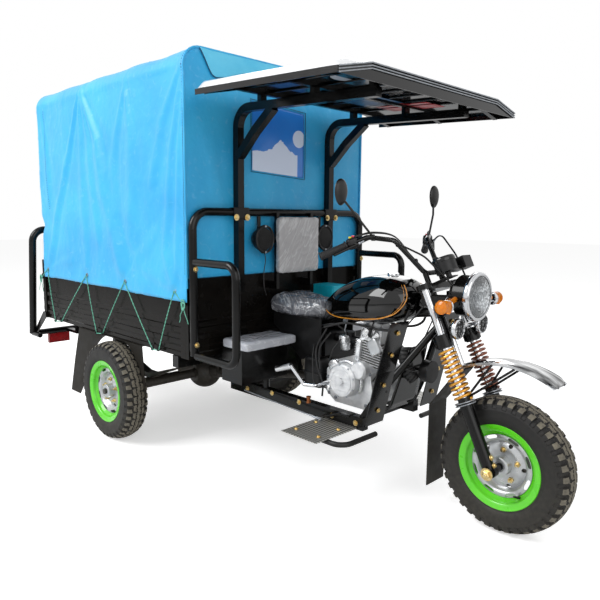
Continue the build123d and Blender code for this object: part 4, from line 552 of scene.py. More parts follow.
def piece(name, shape, body, material, replaces=(), bevel=0.0, smooth_angle=35.0, subdivide=0,
          wall=0.0):
    """A named mesh in the model's frame that rides on a body."""
    made = raw_object(name, shape)
    mesh = made.data
    work = bmesh.new()
    work.from_mesh(mesh)
    bmesh.ops.remove_doubles(work, verts=work.verts, dist=0.00002)
    bmesh.ops.dissolve_degenerate(work, dist=0.00001, edges=work.edges)
    bmesh.ops.recalc_face_normals(work, faces=work.faces)
    work.to_mesh(mesh)
    work.free()
    mesh.materials.append(material)
    mesh.shade_smooth()
    mesh.set_sharp_from_angle(angle=radians(smooth_angle))
    if wall:
        thick = made.modifiers.new("wall", "SOLIDIFY")
        thick.thickness = wall * MM
        thick.offset = 0
    if bevel:
        edge = made.modifiers.new("edges", "BEVEL")
        edge.width = bevel * MM
        edge.segments = 2
        edge.limit_method = "ANGLE"
        edge.angle_limit = radians(38)
    if subdivide:
        divide = made.modifiers.new("divide", "SUBSURF")
        divide.levels = divide.render_levels = subdivide
    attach(made, body)
    if replaces:
        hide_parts(*replaces)
    return made


make_camera()
make_stage()

# Finishes of the pieces that keep their solid shape
node_finish = {
    powder_coat: ["chassis_rails", "lower_frame", "front_frame", "tool_boxes", "front_guard", "arm_rails",
                  "backrest_bars", "cab_frame", "roof_ties", "lever_cables", "tarp_bows", "rear_hoop",
                  "fork_clamps", "fork_legs", "handlebar", "levers", "headlamp"],
    bed_paint: ["bed_floor", "bed_sides", "bed_front_panel", "tailgate"],
    fender_paint: ["rear_fenders"],
    cast_alloy: ["engine"],
    silencer_sheet: ["exhaust"],
    black_abs: ["carburettor", "saddle_base", "instruments", "horn", "speakers", "mirrors"],
    gloss_abs: ["leg_shields", "cab_roof"],
    chequered: ["foot_plates"],
    chrome: ["fork_tubes", "front_mudguard", "aux_lamps", "kick_lever"],
    zinc: ["gate_hinges"],
    black_iron: ["rear_axle", "leaf_springs", "drive_shaft"],
    flap_rubber: ["front_flap"],
    grip_rubber: ["grips"],
    amber_lens: ["indicators"],
    red_lens: ["tail_lamps"],
    clear_glass: ["headlamp_lens"],
    tank_lacquer: ["fuel_tank"],
    teal_poly: ["water_tank"],
}
for material, names in node_finish.items():
    for name in names:
        mesh = nodes[name].data
        mesh.materials.clear()
        mesh.materials.append(material)
        mesh.shade_smooth()
        mesh.set_sharp_from_angle(angle=radians(34))


# Tyres and wheels
TREAD_PITCHES, TREAD_STEPS = 38, 12
SLOTS, HOLES, NUTS = 8, 5, 5
# Where each band of the tread starts, out from the middle, and how far its zigzag edge wanders
INNER_GROOVE, MIDDLE_BLOCKS, OUTER_GROOVE, SHOULDER_BLOCKS, TREAD_EDGE = 8, 12, 30, 36, 66
ZIGZAG = 5
INNER_CUT, SIPE_CUT, OUTER_CUT, SHOULDER_CUT = 7.0, 5.0, 8.0, 11.0
# Radii above which the full cut and the cut of the shoulder's lugs are made
CUT_FROM, LUG_FROM, LUG_AT = 255, 243, 60.0
WORN_DEPTH, WORN_HALF = 2.5, 64


def tread_depth(turn, y):
    """How deep the tread is cut at a share of the turn and a place across it."""
    phase = (turn * TREAD_PITCHES) % 1.0
    shifted_phase = (phase + (0.5 if y > 0 else 0.0)) % 1.0
    wave = abs(shifted_phase * 2 - 1)
    y = abs(y)
    if y > TREAD_EDGE:
        return 0.0
    if y > SHOULDER_BLOCKS + ZIGZAG * wave:
        return SHOULDER_CUT if shifted_phase < 0.34 else 0.0
    if y > OUTER_GROOVE + ZIGZAG * wave:
        return OUTER_CUT
    if y > MIDDLE_BLOCKS + ZIGZAG * wave:
        return SIPE_CUT if 0.45 < shifted_phase < 0.58 else 0.0
    if y > INNER_GROOVE + ZIGZAG * wave:
        return INNER_CUT
    return 0.0


# Radius and reach across, from the bead out to the crown, and the crown's reach and lowest radius
TYRE_SECTION = [(153.0, 42), (153.0, 57), (174.0, 58.2), (178.0, 61.5), (184.0, 62.5), (187.0, 65.0),
                (200.0, 69.0), (216.0, 70.0), (232.0, 69.5), (236.0, 70.2), (239.0, 70.2), (242.0, 68.8),
                (250.0, 67.2), (256.0, 65.8), (262.0, 63.0), (267.5, 59.0), (270.5, 54.0), (272.5, 48.0),
                (275.0, 41.5), (276.5, 38.5), (277.5, 35.5), (278.5, 32.5), (280.0, 26.0), (281.2, 20.0),
                (281.8, 16.5), (282.2, 13.0), (282.5, 9.5), (282.8, 5.0)]
CROWN_REACH, CROWN_LOW = 10, 262.0


def tyre_crown(across):
    """The uncut tread's radius at a reach across the tyre."""
    for (low, wide), (high, narrow) in zip(TYRE_SECTION[12:], TYRE_SECTION[13:]):
        if narrow <= across <= wide:
            return low + (high - low) * (wide - across) / (wide - narrow)
    return TYRE_R if across < CROWN_REACH else CROWN_LOW


def tyre_shape(centre):
    """A tyre with its blocks and grooves cut into the net."""
    near_side = [(r, -w) for r, w in TYRE_SECTION]
    far_side = [(r, w) for r, w in reversed(TYRE_SECTION)]
    section = near_side + [(TYRE_R, 0.0)] + far_side
    last = len(section) - 1
    count = TREAD_PITCHES * TREAD_STEPS

    def place(i, j):
        radius, y = section[round(j * last)]
        side = 1 if y > 0 else -1
        if radius > CUT_FROM:
            radius -= tread_depth(i, y)
        elif radius > LUG_FROM:
            depth = tread_depth(i, LUG_AT * side)
            radius -= depth * 0.3
            y -= depth * 0.5 * side
        angle = 2 * pi * i
        return Vector((centre[0] + radius * cos(angle), centre[1] + y, centre[2] + radius * sin(angle)))

    return surface(place, count, last, True)


def turned_y(profile, centre, outward, segments=72, closed=False):
    """A profile of radius and outward reach pairs, turned round a wheel's axle."""
    return facing(lathe(profile, segments, closed), (0, outward, 0), centre)


def wheel_pieces(tag, centre, outward, body, rubber_node, wheel_node):
    """Tyre, rim, slotted disc, drum, nuts and valve of one wheel."""
    tyre = piece(tag + "_tyre_shell", tyre_shape(centre), body, tyre_rubber, [rubber_node],
                 smooth_angle=28)
    tyre.data.materials.append(worn_tread)
    hub = metres(centre)
    for face in tyre.data.polygons:
        away = hypot(face.center.x - hub.x, face.center.z - hub.z) / MM
        across = abs(face.center.y - hub.y) / MM
        if across < WORN_HALF and away > tyre_crown(across) - WORN_DEPTH:
            face.material_index = 1
    rim = [(175.0, 59.5), (177.5, 62.0), (175.5, 64.5), (171.0, 63.0), (166.0, 60.5), (152.0, 59.0),
           (149.0, 55.0), (147.5, 46.0), (146.0, 41.0), (133.0, 33.0), (130.0, 27.0), (130.0, -27.0),
           (147.0, -42.0), (149.0, -56.0), (168.0, -61.0), (175.5, -64.5), (177.5, -62.0), (175.0, -58.5),
           (154.0, -57.0), (153.0, -41.0), (134.5, -26.0), (134.5, 26.0), (153.0, 41.0), (154.0, 57.0)]
    green = turned_y(rim, centre, outward, 96, True)
    piece(tag + "_rim", green, body, green_enamel, [wheel_node], smooth_angle=50)
    disc = [(131.0, 27.0), (129.0, 33.0), (120.0, 35.0), (112.0, 33.0), (106.0, 27.0), (101.0, 14.0),
            (96.0, 9.0), (88.0, 12.0), (78.0, 17.0), (62.0, 18.0), (50.0, 16.0), (40.0, 17.0), (38.0, 24.0),
            (37.0, 50.0), (33.0, 53.0), (22.0, 53.0), (20.0, 48.0), (12.0, 48.0)]
    silver = turned_y(disc, centre, outward, 96)
    dish = piece(tag + "_disc", silver, body, silver_paint, smooth_angle=40, wall=4.0)
    cutters = []
    around = [2 * pi * (n + 0.5) / 20 for n in range(20)]
    slot = plate([(15 * cos(a) + (10 if cos(a) > 0 else -10), 7.5 * sin(a)) for a in around], 80)
    for k in range(SLOTS):
        angle = 2 * pi * (k + 0.5) / SLOTS
        turn = Matrix.Rotation(angle, 4, "Z") @ Matrix.Translation((121, 0, -10))
        turn = turn @ Matrix.Rotation(pi / 2, 4, "Z")
        cutters.append(facing(moved(slot, turn), (0, outward, 0), centre))
    for k in range(HOLES):
        angle = 2 * pi * (k + 0.5) / HOLES + pi / HOLES
        hole = shifted(lathe([(0, 0), (9, 0), (9, 60), (0, 60)], 16), 88 * cos(angle), 88 * sin(angle), -10)
        cutters.append(facing(hole, (0, outward, 0), centre))
    cutter = raw_object("cutter", join(*cutters))
    cut = dish.modifiers.new("slots", "BOOLEAN")
    cut.object = cutter
    cut.solver = "EXACT"
    depsgraph = bpy.context.evaluated_depsgraph_get()
    cut_result = bpy.data.meshes.new_from_object(dish.evaluated_get(depsgraph))
    dish.modifiers.clear()
    dish.data = cut_result
    bpy.data.objects.remove(cutter)
    inner = [(92.0, 6.0), (92.0, -46.0), (60.0, -50.0), (12.0, -50.0), (12.0, 47.0), (30.0, 47.0),
             (30.0, 8.0)]
    drum = turned_y(inner, centre, outward, 64, True)
    piece(tag + "_drum", drum, body, black_iron)
    studs = []
    for k in range(NUTS):
        angle = 2 * pi * k / NUTS + pi / (2 * NUTS)
        spot = Vector((66 * cos(angle), 66 * sin(angle), 18))
        nut = join(lathe([(0, 16), (6, 16), (6, 9), (11, 9), (12.5, 7), (12.5, 0), (0, 0)], 6),
                   lathe([(0, 22), (5, 22), (5, 0)], 12))
        studs.append(facing(moved(nut, Matrix.Translation(spot)), (0, outward, 0), centre))
    piece(tag + "_nuts", join(*studs), body, yellow_zinc)
    stem_root = Vector((138 * cos(-0.9), 138 * sin(-0.9), 36))
    stem = [stem_root, stem_root + Vector((-4, 4, 14)), stem_root + Vector((-10, 12, 30))]
    valve = facing(pipe(stem, 4, 10, widths=[6, 5, 4]), (0, outward, 0), centre)
    piece(tag + "_valve", valve, body, grip_rubber)


FRONT_AXLE = (WHEELBASE, 0, TYRE_R)
wheel_pieces("front", FRONT_AXLE, -1, "front_wheel_body", "front_tyre", "front_wheel")
wheel_pieces("rear_right", (0, -HALF_TRACK, TYRE_R), -1, "rear_wheel_right_body", "rear_tyre_right",
             "rear_wheel_right")
wheel_pieces("rear_left", (0, HALF_TRACK, TYRE_R), 1, "rear_wheel_left_body", "rear_tyre_left",
             "rear_wheel_left")


# Fork springs: open coils, the right one gold and the left one copper
def coil(across, turns=11.0, low=292.0, high=514.0, radius=34.0, wire=5.2):
    """An open spring round a fork leg."""
    path = []
    steps = int(turns * 26)
    for i in range(steps + 1):
        share = i / steps
        angle = 2 * pi * turns * share
        rise = low + wire + (high - low - 2 * wire) * share
        path.append(on_fork(radius * cos(angle), across + radius * sin(angle), rise))
    return pipe(path, wire, 10)


piece("gold_coil_right", coil(-FORK_HALF), "steering", gold_lacquer, ["fork_springs"])
piece("copper_coil_left", coil(FORK_HALF), "steering", copper_lacquer)

# Tarpaulin: one skin over the bows, its folds running from the bows' tops to the eyelets
TARP_HALF, TARP_TOP, TARP_BEND, TARP_HEM = 640.0, 2062.0, 96.0, 871.0
TARP_REAR, TARP_FRONT = -991.0, 748.5
REAR_ROUND, RETURN_DEEP, FRONT_LOW = 84.0, 150.0, 986.0
BOW_FIRST, BOW_PITCH, PURLIN_PITCH = -957.0, 415.0, 330.0
RIGHT_SEED, LEFT_SEED = 3.7, 11.2
SWELL_IN, SWELL_OUT = -24.0, 15.0
HEM_WIDE, HEM_THICK, HEM_WAVE = 30, 1.3, 120.0
# A tuck at the rear edge, and the dimple that each eyelet pulls
TUCK_X, TUCK_Z, TUCK_LONG, TUCK_HIGH, TUCK_DEEP = -985, 1215, 95.0, 42.0, 20.0
DIMPLE_DEEP, DIMPLE_WIDE = 5.0, 26.0
EYELETS = [(-868.0, 925.0), (-303.0, 927.0), (149.0, 924.0), (645.0, 918.0)]
# Each fold: its places along the side as (forward, height), how proud it stands and how wide it is
FOLDS = [
    ([(-313, 2012), (-448, 1730), (-572, 1498), (-682, 1300), (-868, 925)], 9.0, 20.0),
    ([(-313, 2012), (-330, 1640), (-318, 1260), (-303, 927)], 6.0, 26.0),
    ([(-313, 2012), (-116, 1703), (-47, 1369), (149, 924)], 13.0, 34.0),
    ([(-313, 2012), (-228, 1700), (-190, 1380), (-130, 1080)], 6.0, 22.0),
    ([(227, 1976), (110, 1730), (34, 1530), (60, 1250), (149, 924)], 6.5, 30.0),
    ([(227, 1976), (262, 1700), (250, 1380), (200, 1100)], 7.0, 34.0),
    ([(755, 2007), (550, 1742), (443, 1412)], 8.0, 22.0),
    ([(755, 2007), (631, 1600), (560, 1118), (645, 918)], 8.0, 20.0),
    ([(755, 2007), (690, 1500), (676, 1118), (645, 918)], 6.0, 16.0),
    ([(-868, 925), (-640, 985), (-470, 1010)], 4.0, 18.0),
    ([(149, 924), (330, 1090), (520, 1220)], 4.5, 22.0),
    ([(645, 918), (520, 960), (330, 1010)], 4.0, 18.0),
    ([(-880, 1940), (-815, 1600), (-800, 1330)], 5.0, 24.0),
]


def off_path(x, z, places):
    """How far a place lies from a path, and how far along it, as a share."""
    best, where, signed = 1e9, 0.0, 0.0
    count = len(places) - 1
    for i in range(count):
        ax, az = places[i]
        bx, bz = places[i + 1]
        run_x, run_z = bx - ax, bz - az
        t = ((x - ax) * run_x + (z - az) * run_z) / (run_x ** 2 + run_z ** 2)
        t = min(max(t, 0.0), 1.0)
        near = hypot(x - ax - run_x * t, z - az - run_z * t)
        if near < best:
            best, where = near, (i + t) / count
            signed = near if run_x * (z - az) - run_z * (x - ax) > 0 else -near
    return signed, where


def crumple(x, y, z, seed):
    """Soft hollows with a few sharp creases between them."""
    place = Vector((x, y, z))
    soft = noise.noise(place / 330.0 + Vector((seed, 0, 0))) * 7.0
    mid = noise.noise(place / 110.0 + Vector((0, seed, 0))) * 2.4
    crease = 1.0 - min(abs(noise.noise(place / 75.0 + Vector((0, 0, seed)))) * 7.0, 1.0)
    return soft + mid + crease * 1.5


def side_swell(x, z, seed):
    """How far the cloth of a side stands out from its flat place."""
    out = crumple(x, 0, z, seed)
    for places, height, width in FOLDS:
        off, along = off_path(x, z, places)
        fan = width * (0.35 + 1.1 * min(along, 0.55) / 0.55)
        fade = min(along / 0.08, (1 - along) / 0.05, 1.0) if 0 < along < 1 else 0.0
        hollow = exp(-(((off - fan * 1.7) / (fan * 1.1)) ** 2))
        out += height * fade * (exp(-((off / fan) ** 2)) - 0.55 * hollow)
    tuck = hypot((x - TUCK_X) / TUCK_LONG, (z - TUCK_Z) / TUCK_HIGH)
    out -= TUCK_DEEP * exp(-(tuck ** 2))
    for ex, ez in EYELETS:
        out -= DIMPLE_DEEP * exp(-(hypot(x - ex, z - ez) / DIMPLE_WIDE) ** 2)
    if z < TARP_HEM + HEM_WIDE:
        out += HEM_THICK
    return out


def tarp_path(share, inward):
    """A point of the section with its outward direction, the whole drawn inward by a distance."""
    half, top = TARP_HALF - inward, TARP_TOP - inward
    radius = max(TARP_BEND - inward, 12.0)
    side = TARP_TOP - TARP_BEND - TARP_HEM
    arc = TARP_BEND * pi / 2
    flat = 2 * (TARP_HALF - TARP_BEND)
    reach = share * (2 * side + 2 * arc + flat)
    if reach < side:
        z = TARP_HEM + (top - radius - TARP_HEM) * reach / side
        return Vector((0, -half, z)), Vector((0, -1, 0))
    reach -= side
    if reach < arc:
        turn = reach / TARP_BEND
        out = Vector((0, -cos(turn), sin(turn)))
        return Vector((0, radius - half, top - radius)) + out * radius, out
    reach -= arc
    if reach < flat:
        return Vector((0, (half - radius) * (2 * reach / flat - 1), top)), Vector((0, 0, 1))
    reach -= flat
    if reach < arc:
        turn = reach / TARP_BEND
        out = Vector((0, sin(turn), cos(turn)))
        return Vector((0, half - radius, top - radius)) + out * radius, out
    reach -= arc
    z = top - radius - (top - radius - TARP_HEM) * reach / side
    return Vector((0, half, z)), Vector((0, 1, 0))


# Rows of the net along the side, round the rear edge and on the return behind it
TARP_ALONG, TARP_WRAP, TARP_RETURN = 150, 18, 8


def tarp_point(u, v):
    """A point of the cover: v runs from the inner edge of the rear return to the front edge."""
    step = v * (TARP_ALONG + TARP_WRAP)
    if step < TARP_RETURN:
        inward, x = RETURN_DEEP + (REAR_ROUND - RETURN_DEEP) * step / TARP_RETURN, TARP_REAR
    elif step < TARP_WRAP:
        turn = (step - TARP_RETURN) / (TARP_WRAP - TARP_RETURN) * pi / 2
        inward, x = REAR_ROUND * (1 - sin(turn)), TARP_REAR + REAR_ROUND * (1 - cos(turn))
    else:
        inward = 0.0
        run = TARP_FRONT - TARP_REAR - REAR_ROUND
        x = TARP_REAR + REAR_ROUND + run * (step - TARP_WRAP) / TARP_ALONG
    place, out = tarp_path(u, inward)
    place.x = x
    toward = Vector((-1, 0, 0)) if step < TARP_RETURN else out
    seed = RIGHT_SEED if place.y < 0 else LEFT_SEED
    bay = (x - BOW_FIRST) / BOW_PITCH
    held = min((TARP_FRONT - x) / 60.0, 1.0)
    if abs(out.z) < 0.01:
        swell = side_swell(x, place.z, seed) * (0.25 + 0.75 * held)
        swell -= sin(pi * min(max(bay % 1.0, 0.0), 1.0)) * 5.0
    else:
        level = side_swell(x, min(place.z, TARP_TOP - TARP_BEND), seed)
        between_bows = sin(pi * (bay % 1.0)) ** 2
        between_bars = sin(pi * ((place.y + PURLIN_PITCH) / PURLIN_PITCH % 1.0)) ** 2
        top_swell = crumple(x, place.y, 0, 5.1) * 0.7 - 9.0 * between_bows * (0.4 + 0.6 * between_bars)
        swell = (level * (1 - out.z) + top_swell * out.z) * (0.25 + 0.75 * held)
    swell = max(min(swell, SWELL_OUT), SWELL_IN)
    if step < TARP_RETURN:
        swell = crumple(x, place.y, place.z, 2.2) * 0.6
    point = place + toward * swell
    if abs(out.z) < 0.01:
        low = min(max((TARP_HEM + HEM_WAVE - place.z) / HEM_WAVE, 0.0), 1.0)
        wave = noise.noise(Vector((x / 60.0, 4.0, 0))) * 3.0
        rise = 6.0 * sin(pi * min(abs(x - EYELETS[1][0]) / 520.0, 1.0)) + wave
        point.z += rise * low
    return point


def stitches(line, outward, pitch=15.0, length=8.5, radius=1.1):
    """A row of short thread stitches along a line of places."""
    rows, left = [], 0.0
    for a, b in zip(line, line[1:]):
        run = b - a
        while left < run.length:
            start = a + run.normalized() * left + outward * radius
            thread = [start, start + run.normalized() * length * 0.5, start + run.normalized() * length]
            rows.append(pipe(thread, radius, 5, widths=[radius * 0.5, radius, radius * 0.5]))
            left += pitch
        left -= run.length
    return join(*rows)


# Thick sewing thread: dark blue and matt
stitch_thread = finish("dark_blue_thread", "#123a63", "#0e2f52", 6, 0.7, 0.05, 1.0, 0.1)
# Painted sunlight: the same cloth, paler and greener, standing for sunlight on the top of the front panel
painted_sunlit_cloth = finish("pale_cyan_painted_sunlight_cloth", "#57c9f2", "#6fd6f8", 160, 0.5, 0.05, 2.4, 0.12)
cover = piece("tarp_cover", surface(tarp_point, 240, TARP_ALONG + TARP_WRAP), "chassis",
              tarp_cloth, ["tarp"], smooth_angle=80, wall=1.6)


# Front panel of the cover, sewn in behind a piped edge
WINDOW_Y, WINDOW_Z = (-228.0, 144.0), (1509.0, 1851.0)


def front_half_width(z):
    """Half the cover's width at a height, less where its upper corners are rounded."""
    rise = z - (TARP_TOP - TARP_BEND)
    if rise <= 0:
        return TARP_HALF
    return TARP_HALF - TARP_BEND + sqrt(max(TARP_BEND ** 2 - rise ** 2, 0.0))


def front_swell(y, z):
    """How far the front panel stands out: folds from its corners and seams."""
    out = crumple(0, y, z, 8.8) * 0.8
    for places, height, width in (
        ([(-560, 1900), (-470, 1500), (-390, 1010)], 8.0, 30.0),
        ([(560, 1900), (470, 1560), (430, 1100)], 8.0, 34.0),
        ([(60, 1500), (90, 1240), (40, 990)], 7.0, 40.0),
        ([(-150, 1500), (-120, 1240), (-180, 990)], 6.0, 34.0),
        ([(500, 1200), (560, 1060), (600, 990)], 6.0, 22.0),
        ([(-600, 1130), (-470, 1060), (-330, 1000)], 5.0, 22.0),
    ):
        off, along = off_path(y, z, places)
        out += height * exp(-((off / width) ** 2)) * (sin(pi * min(max(along, 0.0), 1.0)) ** 0.5)
    edge = min(TARP_HALF - abs(y), TARP_TOP - z) / 60.0
    return max(min(out, 4.0), -10.0) * min(max(edge, 0.0), 1.0)


def front_point(u, v):
    """Across the front panel and up it, its rows closer together towards the top."""
    z = FRONT_LOW + (TARP_TOP - FRONT_LOW) * (1 - (1 - v) ** 1.35)
    y = front_half_width(z) * (2 * u - 1)
    return Vector((TARP_FRONT - 2.0 + front_swell(y, z), y, z))


panel = piece("tarp_front", surface(front_point, 90, 80), "chassis", tarp_cloth,
              smooth_angle=80, wall=1.4)
EDGE_STEPS = 160
front_rim = [tarp_point(i / EDGE_STEPS, 1.0) for i in range(EDGE_STEPS + 1)]
edge_path = [p + Vector((1.5, 0, 0)) for p in front_rim if p.z > FRONT_LOW - 60]
piece("tarp_piping", pipe(edge_path, 6.0, 10), "chassis", tarp_cloth, smooth_angle=80)
beside = [p - Vector((11, 0, 0)) + tarp_path(i / EDGE_STEPS, 0)[1] * 1.2
          for i, p in enumerate(front_rim) if p.z > FRONT_LOW]
REAR_SEAM = [(-830, 1940), (-826, 1800), (-812, 1640), (-796, 1480), (-775, 1320)]
rear_seam = [Vector((p.x, -TARP_HALF - side_swell(p.x, p.z, RIGHT_SEED) - 0.6, p.z))
             for p in flowing([Vector((x, 0, z)) for x, z in REAR_SEAM], 12)]
piece("tarp_stitching", join(stitches(beside, Vector((0, 0, 0)), 13, 8, 1.7),
                             stitches(rear_seam, Vector((0, -1, 0)), 15, 8, 1.4)),
      "chassis", stitch_thread)


# Seats: vinyl and cloth pads, swollen by a short cloth simulation, still in their thin clear film
def swollen(name, shape, cap, voxel):
    """A pad that air pressure swells from a slightly smaller form, no point moving beyond a cap."""
    form = raw_object(name, shape)
    remesh = form.modifiers.new("remesh", "REMESH")
    remesh.mode = "VOXEL"
    remesh.voxel_size = voxel * MM
    depsgraph = bpy.context.evaluated_depsgraph_get()
    still = bpy.data.meshes.new_from_object(form.evaluated_get(depsgraph))
    form.modifiers.clear()
    form.data = still
    start = [v.co.copy() for v in still.vertices]
    cloth = form.modifiers.new("swell", "CLOTH")
    cloth.settings.use_pressure = True
    cloth.settings.uniform_pressure_force = 4.0
    cloth.settings.effector_weights.gravity = 0.0
    cloth.settings.quality = 5
    cloth.settings.tension_stiffness = cloth.settings.compression_stiffness = 12.0
    cloth.settings.bending_stiffness = 0.3
    for number in range(1, 21):
        bpy.context.scene.frame_set(number)
    depsgraph = bpy.context.evaluated_depsgraph_get()
    swelled = bpy.data.meshes.new_from_object(form.evaluated_get(depsgraph))
    for place, vertex in zip(start, swelled.vertices):
        shift = vertex.co - place
        if shift.length > cap * MM:
            shift = shift.normalized() * cap * MM
        place += shift
    bpy.context.scene.frame_set(1)
    faces = [tuple(polygon.vertices) for polygon in still.polygons]
    bpy.data.objects.remove(form)
    return [Vector((p.x / MM + ORIGIN_X, p.y / MM, p.z / MM)) for p in start], faces


def film_folds(shape, height, spokes, seed, pull, keep_low=None):
    """The shape with the sharp, branching wrinkles of thin film, fanned out from a gathered place."""
    work = bmesh.new()
    corners = [work.verts.new(p) for p in shape[0]]
    for face in shape[1]:
        work.faces.new([corners[i] for i in face])
    work.normal_update()
    points = []
    for corner in corners:
        p, out = corner.co.copy(), corner.normal.copy()
        toward = p - Vector(pull)
        ray = toward.normalized() * spokes + toward / 170.0
        warp = noise.noise(p / 70.0 + Vector((seed, 3, 9)))
        ridge = 1.0 - min(abs(noise.noise(ray + Vector((seed + warp, warp * 0.6, 0)))) * 3.4, 1.0)
        fine = 1.0 - min(abs(noise.noise(ray * 2.3 + Vector((0, seed, warp)))) * 3.0, 1.0)
        lift = height * (ridge ** 2 * 0.8 + fine ** 2 * 0.35 - 0.35)
        if keep_low is not None and p.z < keep_low:
            lift *= 0.2
        points.append(p + out * lift)
    work.free()
    return points, shape[1]


def saddle_form(shrink):
    """Saddle: broad and round at the rear, a dished top, a long nose that drops under the tank."""
    stations = [(764, 96, 808, 854), (772, 126, 788, 872), (796, 148, 776, 881), (850, 155, 770, 882),
                (910, 152, 766, 876), (970, 140, 762, 868), (1030, 116, 762, 866), (1084, 90, 766, 868),
                (1112, 70, 774, 860), (1122, 48, 790, 846)]
    path = flowing([Vector((x, half, low)) for x, half, low, high in stations], 5)
    tops = flowing([Vector((x, half, high)) for x, half, low, high in stations], 5)

    def place(i, j):
        at = min(round(j * (len(path) - 1)), len(path) - 1)
        x, half, low = path[at]
        high = tops[at].z
        angle = 2 * pi * i
        y = (half - shrink) * abs(cos(angle)) ** 0.72 * (1 if cos(angle) > 0 else -1)
        rise = abs(sin(angle)) ** (0.75 if sin(angle) > 0 else 0.4) * (1 if sin(angle) > 0 else -1)
        mid = low + (high - low) * 0.42
        z = mid + (high - mid - shrink) * rise if rise > 0 else mid + (mid - low - shrink) * rise
        if rise > 0:
            z -= 5.0 * (1 - min(abs(y) / 90.0, 1.0)) * (1 if 800 < x < 1040 else 0.3)
        return Vector((x, y, z))

    return closed_ends(surface(place, 56, len(path) - 1, True), 56)


seat = swollen("saddle_form", saddle_form(4.0), 7.0, 6.0)
seat = film_folds(seat, 7.0, 3.8, 1.3, (1190, -40, 760), 776)
piece("saddle_pad", seat, "chassis", wrapped_saddle, ["saddle"],
                smooth_angle=70, subdivide=1)
pad = swollen("cushion_form", round_box((800, 1000), (134, 480), (641, 682), 14.0, 24), 4.0, 5.0)
right_pad = film_folds(other_side(pad), 2.6, 3.0, 4.1, (1010, -500, 640), 646)
left_pad = film_folds(pad, 2.6, 3.0, 6.6, (1010, 500, 640), 646)
piece("side_pads", join(right_pad, left_pad), "chassis", wrapped_cushions,
                ["side_cushions"], smooth_angle=70, subdivide=1)
back = swollen("backrest_form", round_box((816, 849), (-128, 179), (984, 1286), 16.0, 24), 4.0, 5.0)
back = film_folds(back, 3.0, 6.0, 9.2, (830, -160, 950))
piece("backrest_pad", back, "chassis", wrapped_pads, ["backrest"],
                smooth_angle=70, subdivide=1)


# Window of clear PVC: the shaded blue inside seen through it is painted as a deep blue, and the daylight
# falling through onto its folds as a painted pale patch
def window_sheet():
    """Clear PVC film: a deep blue of painted shade for the inside behind it, with a pale lavender patch and
    spot of painted daylight, edged by the ragged line of the folds."""
    material, tree, shader = new_material("clear_pvc_window_painted_light")
    place = add(tree, "TexCoord").outputs["Object"]
    parts = add(tree, "SeparateXYZ", [("Vector", place)])
    rag = add(tree, "TexNoise", [("Vector", place)], Scale=per_metre(60), Detail=6.0)
    tone = add(tree, "TexNoise", [("Vector", place)], Scale=per_metre(240), Detail=3.0)
    inside_shade_blue = add(tree, "Mix", [("Factor", tone.outputs[0]), (6, linear("#1273d6")), (7, linear("#2f8eea"))],
               data_type="RGBA")
    # height of the ragged edge of the lower painted daylight patch: it climbs to a point near the middle
    lean = add(tree, "Math", [(0, parts.outputs["Y"]), (1, 30 * MM)], operation="ADD")
    lean = add(tree, "Math", [(0, lean.outputs[0])], operation="ABSOLUTE")
    peak = add(tree, "MapRange", [("Value", lean.outputs[0])], From_Max=120 * MM, To_Min=1695 * MM,
               To_Max=1612 * MM)
    wander = add(tree, "MapRange", [("Value", rag.outputs[0])], To_Min=-45 * MM, To_Max=45 * MM)
    edge = add(tree, "Math", [(0, peak.outputs[0]), (1, wander.outputs[0])], operation="ADD")
    below = add(tree, "Math", [(0, parts.outputs["Z"]), (1, edge.outputs[0])], operation="LESS_THAN")
    left = add(tree, "Math", [(0, parts.outputs["Y"]), (1, 96 * MM)], operation="LESS_THAN")
    patch = add(tree, "Math", [(0, below.outputs[0]), (1, left.outputs[0])], operation="MULTIPLY")
    off_y = add(tree, "Math", [(0, parts.outputs["Y"]), (1, 106 * MM)], operation="SUBTRACT")
    off_z = add(tree, "Math", [(0, parts.outputs["Z"]), (1, 1704 * MM)], operation="SUBTRACT")
    far = add(tree, "CombineXYZ", [("X", off_y.outputs[0]), ("Y", off_z.outputs[0])])
    far = add(tree, "VectorMath", [(0, far.outputs[0])], operation="LENGTH")
    spot = add(tree, "Math", [(0, far.outputs[1]), (1, 46 * MM)], operation="LESS_THAN")
    lit = add(tree, "Math", [(0, patch.outputs[0]), (1, spot.outputs[0])], operation="MAXIMUM")
    # pale painted daylight over the deep blue painted shade of the inside
    colour = add(tree, "Mix", [("Factor", lit.outputs[0]), (6, inside_shade_blue.outputs[2]), (7, linear("#dbe8ff"))],
                 data_type="RGBA")
    feed(tree, shader, [("Base Color", colour.outputs[2])], Roughness=0.3, Coat_Weight=0.35,
         Coat_Roughness=0.08)
    ripple = add(tree, "TexNoise", [("Vector", place)], Scale=per_metre(120), Detail=2.0)
    bump = add(tree, "Bump", [("Height", ripple.outputs[0])], Distance=4 * MM, Strength=0.6)
    tree.links.new(bump.outputs[0], shader.inputs["Normal"])
    return material


window_painted_light = window_sheet()


def window_point(u, v):
    """A place on the window's film, which hangs a little askew before the front panel."""
    y = WINDOW_Y[0] + (WINDOW_Y[1] - WINDOW_Y[0]) * u
    z = WINDOW_Z[0] + (WINDOW_Z[1] - WINDOW_Z[0]) * v + 22.0 * (0.5 - u)
    return Vector((TARP_FRONT + 3.4 + noise.noise(Vector((0, y / 90.0, z / 120.0))) * 2.0, y, z))


